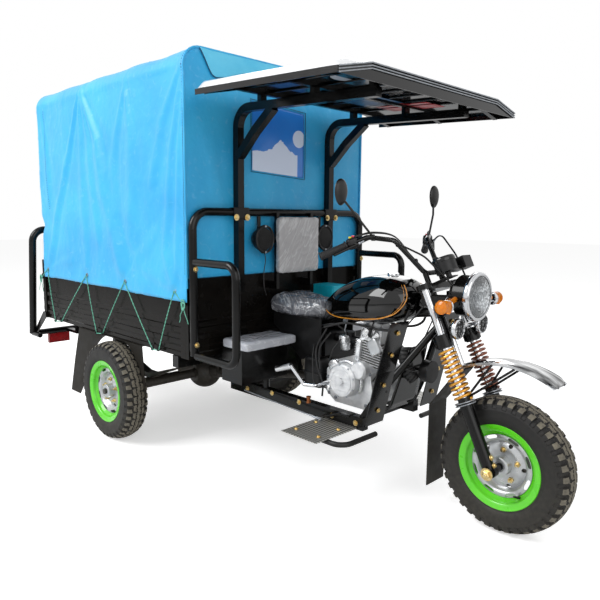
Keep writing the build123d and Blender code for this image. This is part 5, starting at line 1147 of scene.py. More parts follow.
window = piece("tarp_window", surface(window_point, 40, 34), "chassis", window_painted_light,
               smooth_angle=80, wall=0.8)
steps = [i / 12 for i in range(12)]
window_round = ([(s, 0) for s in steps] + [(1, s) for s in steps]
                + [(1 - s, 1) for s in steps] + [(0, 1 - s) for s in steps])
rim = [window_point(u, v) for u, v in window_round]
seam = [p + Vector((1.5, (p.y - sum(WINDOW_Y) / 2) * 0.05, (p.z - sum(WINDOW_Z) / 2) * 0.05)) for p in rim]
ahead = Vector((1, 0, 0))
seam_stitches = stitches([p + ahead for p in seam], ahead, 12, 8, 1.3)
piece("window_seam", join(pipe(seam, 1.5, 6, closed=True), seam_stitches), "chassis",
      stitch_thread)


# Painted sunlight across the top of the front panel: a thin sheet of paler cloth colour with a curved lower
# edge where the sunlit part meets the shade
SUNLIT_FROM, SUNLIT_LONG = -548.0, 1090.0
SUNLIT_EDGE = [(-548, 2058), (-518, 2012), (-498, 1975), (-478, 1946), (-456, 1937), (-400, 1946),
             (-271, 1986), (-120, 2006), (60, 2016), (300, 2014), (470, 2000), (542, 2052)]


def sunlit_point(u, v):
    """Across the painted sunlit patch, and up from its curved edge to the top of the cover."""
    y = SUNLIT_FROM + SUNLIT_LONG * u
    for (ya, za), (yb, zb) in zip(SUNLIT_EDGE, SUNLIT_EDGE[1:]):
        if ya <= y <= yb + 0.01:
            low_edge = za + (zb - za) * (y - ya) / (yb - ya)
            break
    reach = (TARP_HALF - TARP_BEND) - abs(y)
    high_edge = TARP_TOP - 2.0
    if reach <= 0:
        high_edge = TARP_TOP - TARP_BEND + sqrt(max(TARP_BEND ** 2 - reach ** 2, 1.0)) - 2.0
    z = low_edge + (max(high_edge, low_edge + 1.0) - low_edge) * v
    ripple = noise.noise(Vector((5, y / 70.0, z / 60.0))) * 2.0
    return Vector((TARP_FRONT + 6.0 + 3.0 * sin(pi * v) + ripple, y, z))


# The paler sheet laid over the front panel is painted sunlight
flap = piece("tarp_painted_sunlight", surface(sunlit_point, 80, 14), "chassis", painted_sunlit_cloth,
             smooth_angle=80, wall=1.0)
# A dark thread-coloured line along the patch's lower edge: painted shade at the border of the sunlight
sunlit_patch_border = [sunlit_point(i / 80, 0) + Vector((0.8, 0, 0)) for i in range(81)]
piece("sunlit_patch_border", pipe(sunlit_patch_border, 2.0, 6), "chassis", stitch_thread)


# Brass eyelets along the hem, and the mint twine that laces the cover to hooks under the box
def ring(centre, direction, radius, wire, segments=28, sides=8):
    """A round ring of wire about a direction."""
    def place(i, j):
        a, b = 2 * pi * i, 2 * pi * j
        return Vector(((radius + wire * cos(b)) * cos(a), (radius + wire * cos(b)) * sin(a), wire * sin(b)))
    return facing(surface(place, segments, sides, True, True), direction, centre)


def side_y(x, z):
    """Where the cover's right side stands at a place."""
    return -TARP_HALF - min(max(side_swell(x, z, RIGHT_SEED), SWELL_IN), SWELL_OUT)


# Forward, height and 1 at an eyelet, 0 at a hook
LACE = [(726, 857, 0), (645, 918, 1), (480, 593, 0), (421, 588, 0), (149, 924, 1), (-131, 594, 0),
        (-208, 583, 0), (-303, 927, 1), (-697, 593, 0), (-792, 581, 0), (-868, 925, 1), (-989, 855, 0)]


def lacing():
    """The twine from hook to eyelet and back, two strands twisted together."""
    stops = [Vector((x, side_y(x, z) - 5.0 if eye else -BED_HALF - 12.0, z)) for x, z, eye in LACE]
    path = []
    for a, b in zip(stops, stops[1:]):
        for k in range(24):
            t = k / 24
            p = a.lerp(b, t)
            p.y -= 3.0 * sin(pi * t)
            path.append(p)
    path.append(stops[-1])
    strands = []
    for start in (0.0, pi):
        turn, line = start, []
        for a, b in zip(path, path[1:]):
            run = (b - a).normalized()
            side = run.cross(Vector((0, 1, 0))).normalized()
            for k in range(2):
                twist = Vector((0, 1, 0)) * sin(turn) * 1.5
                line.append(a.lerp(b, k / 2) + side * cos(turn) * 1.5 + twist)
                turn += 1.05
        strands.append(pipe(line, 1.7, 6))
    return join(*strands)


def knot(centre, seed):
    """A hank of spare twine wound round itself, with two loose ends."""
    generator = random.Random(seed)
    path = []
    for k in range(90):
        a = k * 0.72
        swing = 13 + 5 * sin(k * 0.37 + seed)
        across = swing * cos(a) * 0.7 + generator.uniform(-2, 2)
        up = swing * sin(a) * 1.5 + generator.uniform(-2, 2)
        path.append(Vector(centre) + Vector((across, -4 - 5 * abs(sin(a * 0.5)), up)))
    tails = []
    for side in (-1, 1):
        ends = [Vector(centre) + Vector((side * 4, -7, -16))]
        for k in range(4):
            across, out = side * generator.uniform(2, 12), generator.uniform(-2, 2)
            ends.append(ends[-1] + Vector((across, out, -18)))
        tails.append(pipe(flowing(ends, 5), 1.9, 6))
    return join(pipe(flowing(path, 3), 2.0, 6), *tails)


eyes = [join(ring((x, side_y(x, z) - 0.8, z), (0, -1, 0), 9.0, 2.2),
             ring((x, side_y(x, z) + 1.6, z), (0, -1, 0), 9.0, 1.8))
        for x, z in EYELETS]
piece("hem_eyelets", both(join(*eyes)), "chassis", zinc)
twine = join(lacing(), knot((726, -BED_HALF - 16, 857), 3), knot((-989, -BED_HALF - 10, 856), 8))
piece("hem_lacing", both(twine), "chassis", mint_twine, smooth_angle=60)
HOOK = [(2, 34), (-7, 30), (-7, -2), (-18, -4), (-19, 12)]
hooks = [pipe(bend([(x, -BED_HALF + out, z + up) for out, up in HOOK], 8), 3.2, 10)
         for x, z, eye in LACE if not eye]
piece("lacing_hooks", both(join(*hooks)), "chassis", powder_coat)


# Fuel tank: one smooth pressed shell, its cap and the printed line round its lower edge
TANK = [(1106, 22, 838, 846, 858), (1114, 46, 820, 846, 870), (1130, 72, 800, 847, 888),
        (1230, 131, 788, 858, 953), (1330, 149, 788, 869, 996), (1420, 154, 792, 878, 1015),
        (1500, 153, 799, 888, 1019), (1560, 143, 811, 899, 1009), (1612, 112, 834, 904, 986),
        (1636, 83, 852, 906, 966), (1650, 52, 872, 908, 948), (1656, 24, 892, 910, 930)]
TANK_OUT = flowing([Vector((x, half, low)) for x, half, low, wide, top in TANK], 6)
TANK_UP = flowing([Vector((x, wide, top)) for x, half, low, wide, top in TANK], 6)

# Powers that round the section at its sides, its top and its lower half
SIDE_POWER, TOP_POWER, LOW_POWER = 0.7, 1.05, 0.62
TANK_SIDES = 72


def tank_point(u, v):
    """Round the tank's section and along its length."""
    at = min(round(v * (len(TANK_OUT) - 1)), len(TANK_OUT) - 1)
    x, half, low = TANK_OUT[at]
    wide, top = TANK_UP[at].y, TANK_UP[at].z
    angle = 2 * pi * u
    y = half * abs(cos(angle)) ** SIDE_POWER * (1 if cos(angle) > 0 else -1)
    rise = sin(angle)
    if rise > 0:
        return Vector((x, y, wide + (top - wide) * rise ** TOP_POWER))
    return Vector((x, y, wide - (wide - low) * abs(rise) ** LOW_POWER))


def tank_side(x, z):
    """How far out the tank's skin stands at a place on its side."""
    for a, b, c, d in zip(TANK_OUT, TANK_OUT[1:], TANK_UP, TANK_UP[1:]):
        if a.x <= x <= b.x:
            t = (x - a.x) / max(b.x - a.x, 0.01)
            half, low = a.y + (b.y - a.y) * t, a.z + (b.z - a.z) * t
            wide, top = c.y + (d.y - c.y) * t, c.z + (d.z - c.z) * t
            break
    if z > wide:
        rise = ((z - wide) / (top - wide)) ** (1 / TOP_POWER)
    else:
        rise = ((wide - z) / (wide - low)) ** (1 / LOW_POWER)
    rise = min(max(rise, 0.0), 0.999)
    return half * sqrt(1 - rise * rise) ** SIDE_POWER


tank = closed_ends(surface(tank_point, TANK_SIDES, len(TANK_OUT) - 1, True), TANK_SIDES)
piece("tank_shell", tank, "chassis", tank_lacquer, ["fuel_tank"], smooth_angle=60,
      subdivide=1)
stripe_line = [(1598, 986), (1616, 968), (1628, 944), (1629, 918), (1616, 888), (1586, 858), (1530, 836),
               (1450, 820), (1360, 810), (1280, 806), (1200, 810), (1150, 822)]
stripe = [Vector((p.x, -tank_side(p.x, p.z) - 0.4, p.z))
          for p in flowing([Vector((x, 0, z)) for x, z in stripe_line], 6)]
fine_line = [p + Vector((-8, 0.2, 3 if p.x < 1500 else 0)) for p in stripe]
fine_line = [Vector((p.x, -tank_side(p.x, p.z) - 0.3, p.z)) for p in fine_line]
piece("tank_lines", both(join(pipe(stripe, 2.6, 8), pipe(fine_line, 1.0, 6))), "chassis",
      orange_stripe)
cap_ring = lathe([(0, 2), (29, 2), (33, 4), (34, 8), (30, 12), (27, 12)], 40)
cap_top = lathe([(27, 10), (27, 18), (25, 22), (18, 24), (0, 25)], 40)
piece("tank_cap", facing(join(cap_ring, cap_top), (0.02, 0, 1), (1490, 0, 1008)), "chassis",
      chrome)
tap_body = pipe([(1246, -40, 800), (1246, -44, 776), (1246, -44, 762)], 7, 12)
tap_knob = facing(lathe([(0, 0), (9, 0), (9, 9), (0, 9)], 16), (0, -1, 0), (1246, -50, 780))
tap_hose = pipe(bend([(1246, -44, 764), (1240, -46, 730), (1236, -30, 706)], 16), 3.4, 8)
tap = join(tap_body, tap_knob, tap_hose)
piece("fuel_tap", tap, "chassis", zinc)


# Headlamp: chrome ring, fluted reflector and bulb behind the glass; small lamps with their grilles
LAMP = Vector((1925.0, 0.0, 960.0))


def facing_ahead(profile, centre, segments=64, closed=False):
    """A turned profile that faces forward."""
    return facing(lathe(profile, segments, closed), (1, 0, 0), centre)


lamp_ring = facing_ahead([(101.3, -15), (103.4, -13), (103.8, -3), (103.0, 3), (99.5, 9), (94.0, 11.5),
                          (88.5, 9.5), (88.0, 6.5), (93.0, 7.5), (98.0, 5), (101.0, -2)], LAMP, 96, True)
piece("lamp_ring", lamp_ring, "steering", chrome, smooth_angle=60)


def reflector_point(i, share):
    """The bowl from its rim inward, cut in flutes and rings."""
    angle = 2 * pi * i
    radius = 84.0 - 70.0 * share
    cut = 1.3 * abs(sin(angle * 9)) * (1 - share) + 0.8 * abs(sin(share * 16.0))
    height = 5.5 - 11.5 * (1 - (1 - share) ** 1.5) + cut
    return Vector((radius * cos(angle), radius * sin(angle), height))


piece("lamp_reflector", facing(surface(reflector_point, 108, 24, True), (1, 0, 0), LAMP), "steering",
      reflector_painted_glints, smooth_angle=18)
bulb = join(facing_ahead([(0, -6), (12, -6), (12, -2), (8, 2), (8, 9), (6, 12), (0, 13)], LAMP, 24),
            facing_ahead([(0, -6), (4, -6), (4, 3), (0, 3)], LAMP + Vector((0, 30, -44)), 16))
piece("lamp_bulb", bulb, "steering", cast_alloy)
trim_profile = [(42.3, -14), (43.6, -12), (43.8, 0), (42.0, 3.2),
                (37.0, 4.0), (34.8, 1.0), (36.0, -2.0), (41.0, 0.5)]
trim_rings = [facing_ahead(trim_profile, Vector((1900.0, side * 97.0, 833.0)), 48, True)
              for side in (-1, 1)]
piece("aux_rings", join(*trim_rings), "steering", chrome, smooth_angle=60)
glass_bits, grille_bits = [], []
for side in (-1, 1):
    spot = Vector((1894.0, side * 97.0, 833.0))
    glass_bits.append(facing_ahead([(0, 4.5), (14, 4.0), (26, 2.5), (34, 0.5), (34, 0), (0, 0)], spot, 32))
    for k in (-1, 0, 1):
        reach = sqrt(37.0 ** 2 - (k * 17.0) ** 2)
        grille_bits.append(pipe([spot + Vector((9, k * 17.0, -reach)), spot + Vector((12, k * 17.0, 0)),
                                 spot + Vector((9, k * 17.0, reach))], 1.9, 8))
        grille_bits.append(pipe([spot + Vector((9, -reach, k * 17.0)), spot + Vector((12, 0, k * 17.0)),
                                 spot + Vector((9, reach, k * 17.0))], 1.7, 8))
# the small lamps' glass takes the reflector finish with its painted glints
piece("aux_glass", join(*glass_bits), "steering", reflector_painted_glints)
piece("aux_grilles", join(*grille_bits), "steering", black_abs)
brackets = []
for side in (-1, 1):
    outline = [(side * 122, 962), (side * 146, 968), (side * 180, 944), (side * 182, 928),
               (side * 158, 902), (side * 122, 896)]
    brackets.append(plate([(z, y) for y, z in outline], 3.0))
bracket = join(*brackets)
bracket = [Vector((1866.0 + p.z, p.y, p.x)) for p in bracket[0]], bracket[1]
piece("indicator_brackets", bracket, "steering", chrome, bevel=1.0)
bracket_bolts = [hex_bolt((1869, side * 148, 938), (1, 0, 0), 10, 5) for side in (-1, 1)]
piece("indicator_bolts", join(*bracket_bolts), "steering", yellow_zinc)


def outward_pair(profile, reach):
    """A turned profile on each indicator, facing out to its side."""
    return join(*[facing(lathe(profile, 40), (0, side, 0), (1892, side * reach, 934)) for side in (-1, 1)])


lens_profile = [(0, 0), (26, 0), (27.5, 4), (26.8, 10), (20, 15), (9, 17.5), (0, 18)]
base_profile = [(0, -4), (22, -4), (28, 0), (29, 5), (27.5, 9), (0, 9)]
piece("indicator_caps", outward_pair(lens_profile, 223), "steering", amber_lens)
piece("indicator_bases", outward_pair(base_profile, 181), "steering", chrome)

# Instruments: black pod with its dial, needle and glass ring
pod = Vector((1786.0, -36.0, 1084.0))


def on_pod(shape):
    """A shape set on the instruments, which face up along the fork."""
    return facing(shape, FORK_UP, pod)


pod_profile = [(49.5, 14), (51.0, 20), (50.0, 30), (46.5, 34.5), (43.5, 34.0), (43.5, 30.5), (0, 30.5)]
piece("pod_ring", on_pod(lathe(pod_profile, 56)), "steering", gloss_abs)
ticks = [moved(block((34, 40), (-0.7, 0.7), (30.6, 31.4)), Matrix.Rotation(radians(-40 + 26 * k), 4, "Z"))
         for k in range(11)]
needle = moved(block((-6, 32), (-0.9, 0.9), (31.8, 32.8)), Matrix.Rotation(radians(-32), 4, "Z"))
piece("pod_ticks", on_pod(join(*ticks)), "steering", dial_white)
piece("pod_needle", on_pod(join(needle, lathe([(0, 34), (4, 34), (5, 31), (0, 31)], 16))), "steering",
      pink_key)

# Grips with their rings, switch housings and keys, mirrors with domed shells
BAR_END = Vector((1398.0, 392.0, 1118.0))
BAR_RUN = (Vector((1522.0, 236.0, 1200.0)) - BAR_END).normalized()
grip_profile = [(0, -7), (15, -7), (18.5, -5), (18.5, -1), (16, 0)]
for k in range(15):
    at = 2 + k * 7.2
    grip_profile += [(15.6, at), (17.2, at + 1.2), (17.2, at + 4.2), (15.6, at + 5.4)]
grip_profile += [(16.2, 110), (21.5, 111), (21.5, 116), (17, 118), (11.5, 118)]
left_grip = facing(lathe(grip_profile, 36), BAR_RUN, BAR_END)
piece("ribbed_grips", both(left_grip), "steering", grip_rubber, ["grips"], smooth_angle=30)
housing = facing(round_box((-23, 23), (-24, 24), (0, 46), 5.0, 8), BAR_RUN, BAR_END + BAR_RUN * 121)
piece("switch_housings", both(housing), "steering", black_abs, smooth_angle=60)
for name, along, material in (("yellow", 138, yellow_key), ("red", 152, pink_key)):
    spot = BAR_END + BAR_RUN * along + Vector((-6, 0, 25))
    cap = facing(round_box((-7, 7), (-5, 5), (-2, 6), 6.0, 4), (0, 0, 1), (spot.x, -spot.y, spot.z))
    piece(name + "_switch_keys", join(cap, other_side(cap)), "steering", material,
          smooth_angle=50)


def mirror_side(side):
    """Stem with its domed shell, and the glass, of one mirror."""
    base, elbow = Vector((1536, 214, 1198)), Vector((1500, 300, 1300))
    centre = Vector((1472, 352, 1388))
    stem = pipe(bend([base, elbow, centre - Vector((0, 10, 30))], 60), 5.0, 12)

    def shell_point(i, j):
        a, b = 2 * pi * i, j * pi / 2
        wide = 38.0 * (1 + 0.10 * sin(a))
        swell = sin(b) ** 0.8
        return centre + Vector((-6 + 17 * cos(b), wide * swell * cos(a), 56.0 * swell * sin(a)))

    def glass_point(i, j):
        across, up = cos(2 * pi * i), sin(2 * pi * i)
        return centre + Vector((-6.4 - 0.6 * (1 - j), 36.5 * j * across * (1 + 0.1 * up), 54.0 * j * up))

    shell = surface(shell_point, 40, 10, True)
    glass = surface(glass_point, 40, 3, True)
    foot = lathe([(0, -14), (9, -14), (9, 4), (7, 8), (5, 14)], 16)
    parts = [join(stem, shell, facing(foot, (0, 0, 1), base)), glass]
    return parts if side > 0 else [other_side(p) for p in parts]


dark = join(mirror_side(1)[0], mirror_side(-1)[0])
piece("mirror_shells", dark, "steering", mirror_black, ["mirrors"], smooth_angle=60)
piece("mirror_glasses", join(mirror_side(1)[1], mirror_side(-1)[1]), "steering", mirror_glass)

# Rocker covers, spark plug, carburettor bowl, bolts and hoses of the engine's open right side
CRANK = Vector((1330.0, 0.0, 512.0))
LEAN = Matrix.Translation((1385, 0, 512)) @ Matrix.Rotation(radians(7.0), 4, "Y")
bolts = []
for k in range(9):
    angle = 2 * pi * k / 9 + 0.3
    spot = CRANK + Vector((77 * cos(angle), -168, 77 * sin(angle)))
    bolts.append(hex_bolt(spot, (0, -1, 0), 9, 5, False, 1.0))
for x, z in ((1206, 420), (1250, 404), (1440, 404), (1478, 430), (1460, 560), (1215, 560), (1198, 500)):
    bolts.append(hex_bolt((x, -118, z), (0, -1, 0), 10, 5, True, 1.5))
for x, y in ((-42, -40), (42, -40), (42, 40), (-42, 40)):
    bolts.append(moved(hex_bolt((x, y, 258), (0, 0, 1), 13, 8, True, 2.0), LEAN))
piece("engine_bolts", join(*bolts), "chassis", zinc)
rocker = lathe([(0, 14), (15, 14), (17, 11), (24, 10), (26, 7), (26, 0), (0, 0)], 40)
covers = [moved(facing(rocker, (0, -1, 0), (x, -56, 224)), LEAN) for x in (-28, 28)]
tunnel = moved(round_box((-66, -34), (-84, -44), (78, 190), 5.0, 10), LEAN)
starter = facing(lathe([(0, 30), (26, 30), (32, 26), (34, 18), (34, 0), (0, 0)], 44), (0, -1, 0),
                 (1256, -118, 566))
ridge_turns = [radians(-28 + 7 * k) for k in range(22)]
ridge = [CRANK + Vector((91 * cos(a), -132, 91 * sin(a))) for a in ridge_turns]
oil_cap = facing(lathe([(0, 16), (12, 16), (14, 12), (17, 10), (17, 0), (0, 0)], 24), (-0.4, -1, 0.3),
                 (1244, -160, 462))
piece("engine_covers", join(*covers, tunnel, starter, pipe(ridge, 7.0, 10), oil_cap), "chassis",
      bright_alloy, smooth_angle=50, bevel=0.8)
bowl_profile = [(0, -40), (18, -40), (23, -36), (24, -14), (26, -10), (26, 16), (22, 20), (0, 20)]
bowl = join(facing(lathe(bowl_profile, 36), (0, 0, 1), (1236, -34, 668)),
            round_box((1216, 1262), (-70, -30), (664, 706), 4.0, 8))
piece("carburettor_bowl", bowl, "chassis", bright_alloy, smooth_angle=50)
# A black block inside the fins: the cylinder's barrel, its black partly painted shade for the gaps between
# the fins
core = moved(block((-70, 70), (-60, 60), (63, 187)), LEAN)
piece("cylinder_core_painted_shade", core, "chassis", black_iron)
plug_cap = pipe(bend([(1414, -52, 720), (1424, -86, 736), (1440, -92, 770)], 22), 8.0, 12)
lead = pipe(bend([(1440, -92, 768), (1452, -88, 806), (1500, -40, 830), (1560, -22, 846)], 40), 3.4, 8)
hoses = [pipe(bend(route, 40), size, 10) for route, size in (
    ([(1236, -70, 686), (1210, -96, 640), (1196, -110, 580), (1180, -104, 430)], 3.6),
    ([(1236, -20, 712), (1190, -60, 760), (1120, -96, 742), (1048, -88, 700)], 5.0),
    ([(1500, -66, 640), (1486, -96, 560), (1452, -110, 500)], 4.0),
    ([(1244, -176, 460), (1170, -196, 470), (1120, -150, 600), (1090, -96, 690)], 3.0),
    ([(1700, -60, 900), (1640, -94, 812), (1588, -100, 700), (1560, -118, 560)], 3.4),
    ([(1716, 58, 902), (1650, 92, 812), (1596, 100, 700), (1568, 116, 560)], 3.4),
)]
piece("engine_hoses", join(plug_cap, lead, *hoses), "chassis", grip_rubber,
      smooth_angle=60)
tilt = Matrix.Translation((1466, -92, 640)) @ Matrix.Rotation(radians(-32), 4, "Y")
piece("regulator", moved(round_box((0, 62), (-26, 0), (0, 76), 8.0, 6), tilt), "chassis",
      silver_paint, smooth_angle=50)
kick_run = [(1082, -250, 553), (1066, -262, 549), (1008, -286, 534), (1000, -290, 532)]
kick_rubber = pipe(kick_run, 13, 16, widths=[11, 13, 13, 12])
piece("kick_rubber", kick_rubber, "chassis", grip_rubber, smooth_angle=50)

# Roof: white skin on top with its rolled edge, thin doubled front trim, coloured lining panels, dome
ROOF_REAR, ROOF_RISE, ROOF_FALL = 872.0, 1839.0, 0.04276
CROWN_HIGH, CROWN_FLAT, CROWN_SLOPE = 42.0, 476, 185.0
SKIN_REAR, SKIN_LONG, SKIN_HALF = 880.0, 822.0, 652.0
ROLL_WIDE, ROLL_HIGH, ROLL_FROM, ROLL_FADE = 14.0, 26.0, 560, 120.0


def roof_place(x, y, up=0.0):
    """A place on the sheet of the roof, or above it."""
    crown = CROWN_HIGH
    if abs(y) >= CROWN_FLAT:
        crown *= max((CROWN_FLAT + CROWN_SLOPE - abs(y)) / CROWN_SLOPE, 0.0)
    return Vector((x, y, ROOF_RISE - (x - ROOF_REAR) * ROOF_FALL + crown + up))


def skin_point(u, v):
    """The white skin: flat in the middle, with a rolled edge at each side."""
    x, y = SKIN_REAR + SKIN_LONG * v, -SKIN_HALF + 2 * SKIN_HALF * u
    share = min((SKIN_HALF - abs(y)) / ROLL_WIDE, 1.0)
    lift = ROLL_HIGH * share ** 0.5 * (0.35 + 0.65 * share) + 2.0
    if abs(y) <= ROLL_FROM:
        lift = 4.0 + (lift - 4.0) * max((abs(y) - ROLL_FROM + ROLL_FADE) / ROLL_FADE, 0.0)
    nose = min((1.0 - v) / 0.04, 1.0)
    return roof_place(x, y, 1.0 + (lift - 1.0) * nose * min(v / 0.02, 1.0))


piece("roof_skin", surface(skin_point, 120, 40), "chassis", white_glass_fibre,
      smooth_angle=50)
front_edge = [roof_place(1717.0, y) for y in range(-658, 659, 14)]
trims = join(*[pipe([p + Vector((2, 0, -drop)) for p in front_edge], size, 8)
               for drop, size in ((2, 3.4), (13, 3.0), (23, 3.0))])
piece("roof_trim", trims, "chassis", zinc, smooth_angle=60)
ribs = []
for y in (-560, -420, -280, -140, 0, 140, 280, 420, 560):
    line = [roof_place(x, y, -7.5) for x in (890, 1290, 1700)]
    ribs.append(pipe(line, 5.0, 8))
piece("roof_ribs", join(*ribs), "chassis", gloss_abs, smooth_angle=60)


def lining(x, y, nx, ny, drop):
    """A panel that follows the underside of the roof."""
    def place(u, v):
        return roof_place(x[0] + (x[1] - x[0]) * u, y[0] + (y[1] - y[0]) * v, drop)

    return surface(place, nx, ny)


piece("blue_lining", lining((1090, 1330), (60, 260), 6, 6, -14.0), "chassis", blue_lining,
      wall=1.0)
red_sheets = join(lining((1120, 1440), (300, 345), 6, 4, -14.0),
                  lining((1120, 1440), (362, 470), 6, 6, -14.0),
                  lining((1240, 1310), (262, 300), 3, 3, -14.0))
piece("red_lining", red_sheets, "chassis", red_lining, wall=1.0)
dome = facing(lathe([(0, 34), (34, 32), (62, 26), (82, 15), (90, 4), (92, 0), (0, 0)], 48), (0, 0, 1),
              (1500, -330, 1852))
piece("roof_dome", dome, "chassis", dome_grey, smooth_angle=60)


# Mudguard: a crowned chrome blade with rolled edges over the plain one
BLADE_FROM, BLADE_TURN, BLADE_HALF, BLADE_R = 60.5, 59.0, 63.5, 424.0


def blade_point(u, v):
    """Across and along the blade: crowned, rolled at its sides and narrower at its front end."""
    share = 2 * u - 1
    angle = radians(BLADE_FROM + BLADE_TURN * v)
    half = BLADE_HALF * (1 - 0.55 * max((0.10 - v) / 0.10, 0.0) ** 2)
    radius = BLADE_R + 13.0 * (1 - abs(share) ** 2.4) + 3.0 * (1 if abs(share) > 0.93 else 0)
    if abs(share) > 0.97:
        radius = BLADE_R - 5.0
    return Vector((WHEELBASE + radius * cos(angle), share * half, TYRE_R + radius * sin(angle)))


# the blade's dark and bright bands are painted reflections
piece("mudguard_blade", surface(blade_point, 40, 60), "steering", blade_chrome_painted_reflections, smooth_angle=50,
      wall=1.2)
stays = []
for side in (-1, 1):
    for turn in (84, 97):
        angle = radians(turn)
        top = Vector((WHEELBASE + 421 * cos(angle), side * 60, TYRE_R + 421 * sin(angle)))
        foot = on_fork(-2, side * 92, 300)
        run = [top - Vector((0, side * 20, 0)), top + Vector((0, side * 6, -4)), foot]
        stays.append(pipe(bend(run, 14), 5.0, 10))
piece("mudguard_stays", join(*stays), "steering", powder_coat, smooth_angle=50)

# Fork: chromed rings at the clamps, rubber collars, axle nuts and pinch bolts
RING_PROFILE = [(40, -2.5), (43, -1.5), (43, 1.5), (40, 2.5), (20, 2.5), (20, -2.5)]
COLLAR_PROFILE = [(22, -18), (31, -16), (33, -6), (30, -3), (33, 0), (30, 3), (33, 6), (29, 16), (22, 20)]
rings, rubbers, nuts = [], [], []
for side in (-1, 1):
    for up in (278, 288):
        rings.append(facing(lathe(RING_PROFILE, 40, True), FORK_UP, on_fork(0, side * FORK_HALF, up)))
    rubbers.append(facing(lathe(COLLAR_PROFILE, 32, True), FORK_UP, on_fork(0, side * FORK_HALF, 536)))
    nuts.append(hex_bolt((WHEELBASE, side * 153, TYRE_R), (0, side, 0), 27, 12, True, 4))
    axle_end = lathe([(0, 22), (7, 22), (9, 20), (9, 0), (0, 0)], 20)
    nuts.append(facing(axle_end, (0, side, 0), (WHEELBASE, side * 153, TYRE_R)))
    nuts.append(hex_bolt(on_fork(26, side * FORK_HALF, 52), FORK_FORWARD, 13, 7))
    nuts.append(hex_bolt(on_fork(26, side * FORK_HALF, 20), FORK_FORWARD, 13, 7))
piece("fork_rings", join(*rings), "steering", zinc)
piece("fork_rubbers", join(*rubbers), "steering", grip_rubber, smooth_angle=50)
piece("fork_bolts", join(*nuts), "steering", yellow_zinc)

# Clamp plates and yellow bolts where the posts and arm rails meet the hoop
plates, gold = [], []
for side in (-1, 1):
    plates.append(round_box((790.5, 796), (side * 334 - 50, side * 334 + 50), (1264, 1328), 9.0, 6))
    plates.append(round_box((752, 796), (side * 334 - 50, side * 334 + 50), (1323, 1328), 9.0, 6))
    for off in (-35, 35):
        gold.append(hex_bolt((795, side * 334 + off, 1279), (1, 0, 0), 17, 9, True, 3))
    for z in (1067, 700):
        gold.append(hex_bolt((792, side * 616, z - 34), (1, 0, 0), 14, 8, True, 3))
    for x, z in ((898, 370), (1099, 367), (1320, 352), (1465, 352), (700, 352)):
        gold.append(hex_bolt((x, side * 220.5, z), (0, side, 0), 14, 8, True, 3))
    for x in (1290, 1430):
        gold.append(hex_bolt((x, side * 300, 330), (0, 0, 1), 12, 6, True, 2))
        gold.append(hex_bolt((x, side * 430, 330), (0, 0, 1), 12, 6, True, 2))
    for x, z in ((1681, 800), (1652, 700), (1615, 560), (1586, 440)):
        gold.append(hex_bolt((x, side * 215, z), (1, 0, -0.27), 12, 7, True, 2))
piece("clamp_plates", join(*plates), "chassis", powder_coat, smooth_angle=50)
piece("yellow_bolts", join(*gold), "chassis", yellow_zinc)
bush_profile = [(0, 34), (9, 34), (12, 33), (12, 27), (9, 26), (9, 8), (12, 7), (12, 1), (9, 0), (0, 0)]
bushes = [facing(lathe(bush_profile, 24), (0, 0, 1), (1175, side * 232, 383)) for side in (-1, 1)]
piece("copper_bushes", join(*bushes), "chassis", copper_metal)

# Foot brake: pedal, pivot and the thin bright rod back to the axle; gear pedal on the left
rod_run = [(730, -268, 360), (1080, -268, 345), (1290, -268, 337)]
brake = join(pipe(rod_run, 4.0, 10), pipe([(1240, -268, 339), (1290, -268, 337)], 6.0, 10),
             hex_bolt((1290, -272, 337), (0, -1, 0), 13, 6))
piece("brake_rod", brake, "chassis", zinc)
pedal_run = [(1300, -222, 352), (1300, -268, 352), (1400, -274, 392), (1448, -274, 402)]
pedal_pad = round_box((1436, 1488), (-304, -244), (400, 412), 7.0, 6)
gear_run = [(1300, 178, 440), (1300, 222, 440), (1420, 232, 424), (1452, 232, 432)]
gear_toe = pipe([(1452, 214, 433), (1452, 262, 433)], 10.0, 14)
pedals = join(pipe(bend(pedal_run, 22), 8.0, 12), pedal_pad, pipe(bend(gear_run, 20), 7.0, 12), gear_toe)
piece("foot_pedals", pedals, "chassis", powder_coat, smooth_angle=50)

# Dark fill of the open front: splash panel between the down tubes, ribbed duct, battery box, wiring
def splash_point(u, v):
    """Across the panel and up it: it leans with the down tubes and narrows upward."""
    z = 410.0 + 300.0 * v
    return Vector((1552 + (z - 372) * 0.27, (2 * u - 1) * (112.0 - 40.0 * v), z))


piece("splash_panel", surface(splash_point, 8, 10), "chassis", gloss_abs, wall=3.0)
duct_path = flowing([(1596, -40, 700), (1606, -44, 640), (1620, -40, 590), (1650, -26, 556)], 14)
duct = pipe(duct_path, 30, 24, widths=[27 + 5 * abs(sin(k * 0.75)) for k in range(len(duct_path))])
box = round_box((1050, 1170), (-146, -66), (430, 584), 7.0, 8)
strap = round_box((1046, 1174), (-150, -62), (500, 512), 8.0, 6)
piece("front_duct", duct, "chassis", grip_rubber, smooth_angle=50)
piece("battery_box", join(box, strap), "chassis", black_abs, smooth_angle=50)
cable_runs = [
    ([(1640, -76, 880), (1600, -84, 800), (1500, -80, 770), (1300, -96, 780), (1160, -110, 742)], 6.0),
    ([(1180, -112, 740), (1130, -130, 640), (1150, -150, 560), (1190, -150, 470), (1180, -140, 400)], 5.0),
    ([(1210, -116, 724), (1160, -140, 640), (1176, -156, 540)], 4.0),
    ([(1640, 70, 880), (1600, 84, 800), (1500, 84, 770), (1300, 96, 780), (1160, 110, 742)], 6.0),
    ([(1590, -116, 700), (1640, -96, 620), (1690, -40, 600)], 3.0),
]
piece("frame_wiring", join(*[pipe(flowing(run, 10), size, 10) for run, size in cable_runs]), "chassis",
      grip_rubber, smooth_angle=60)

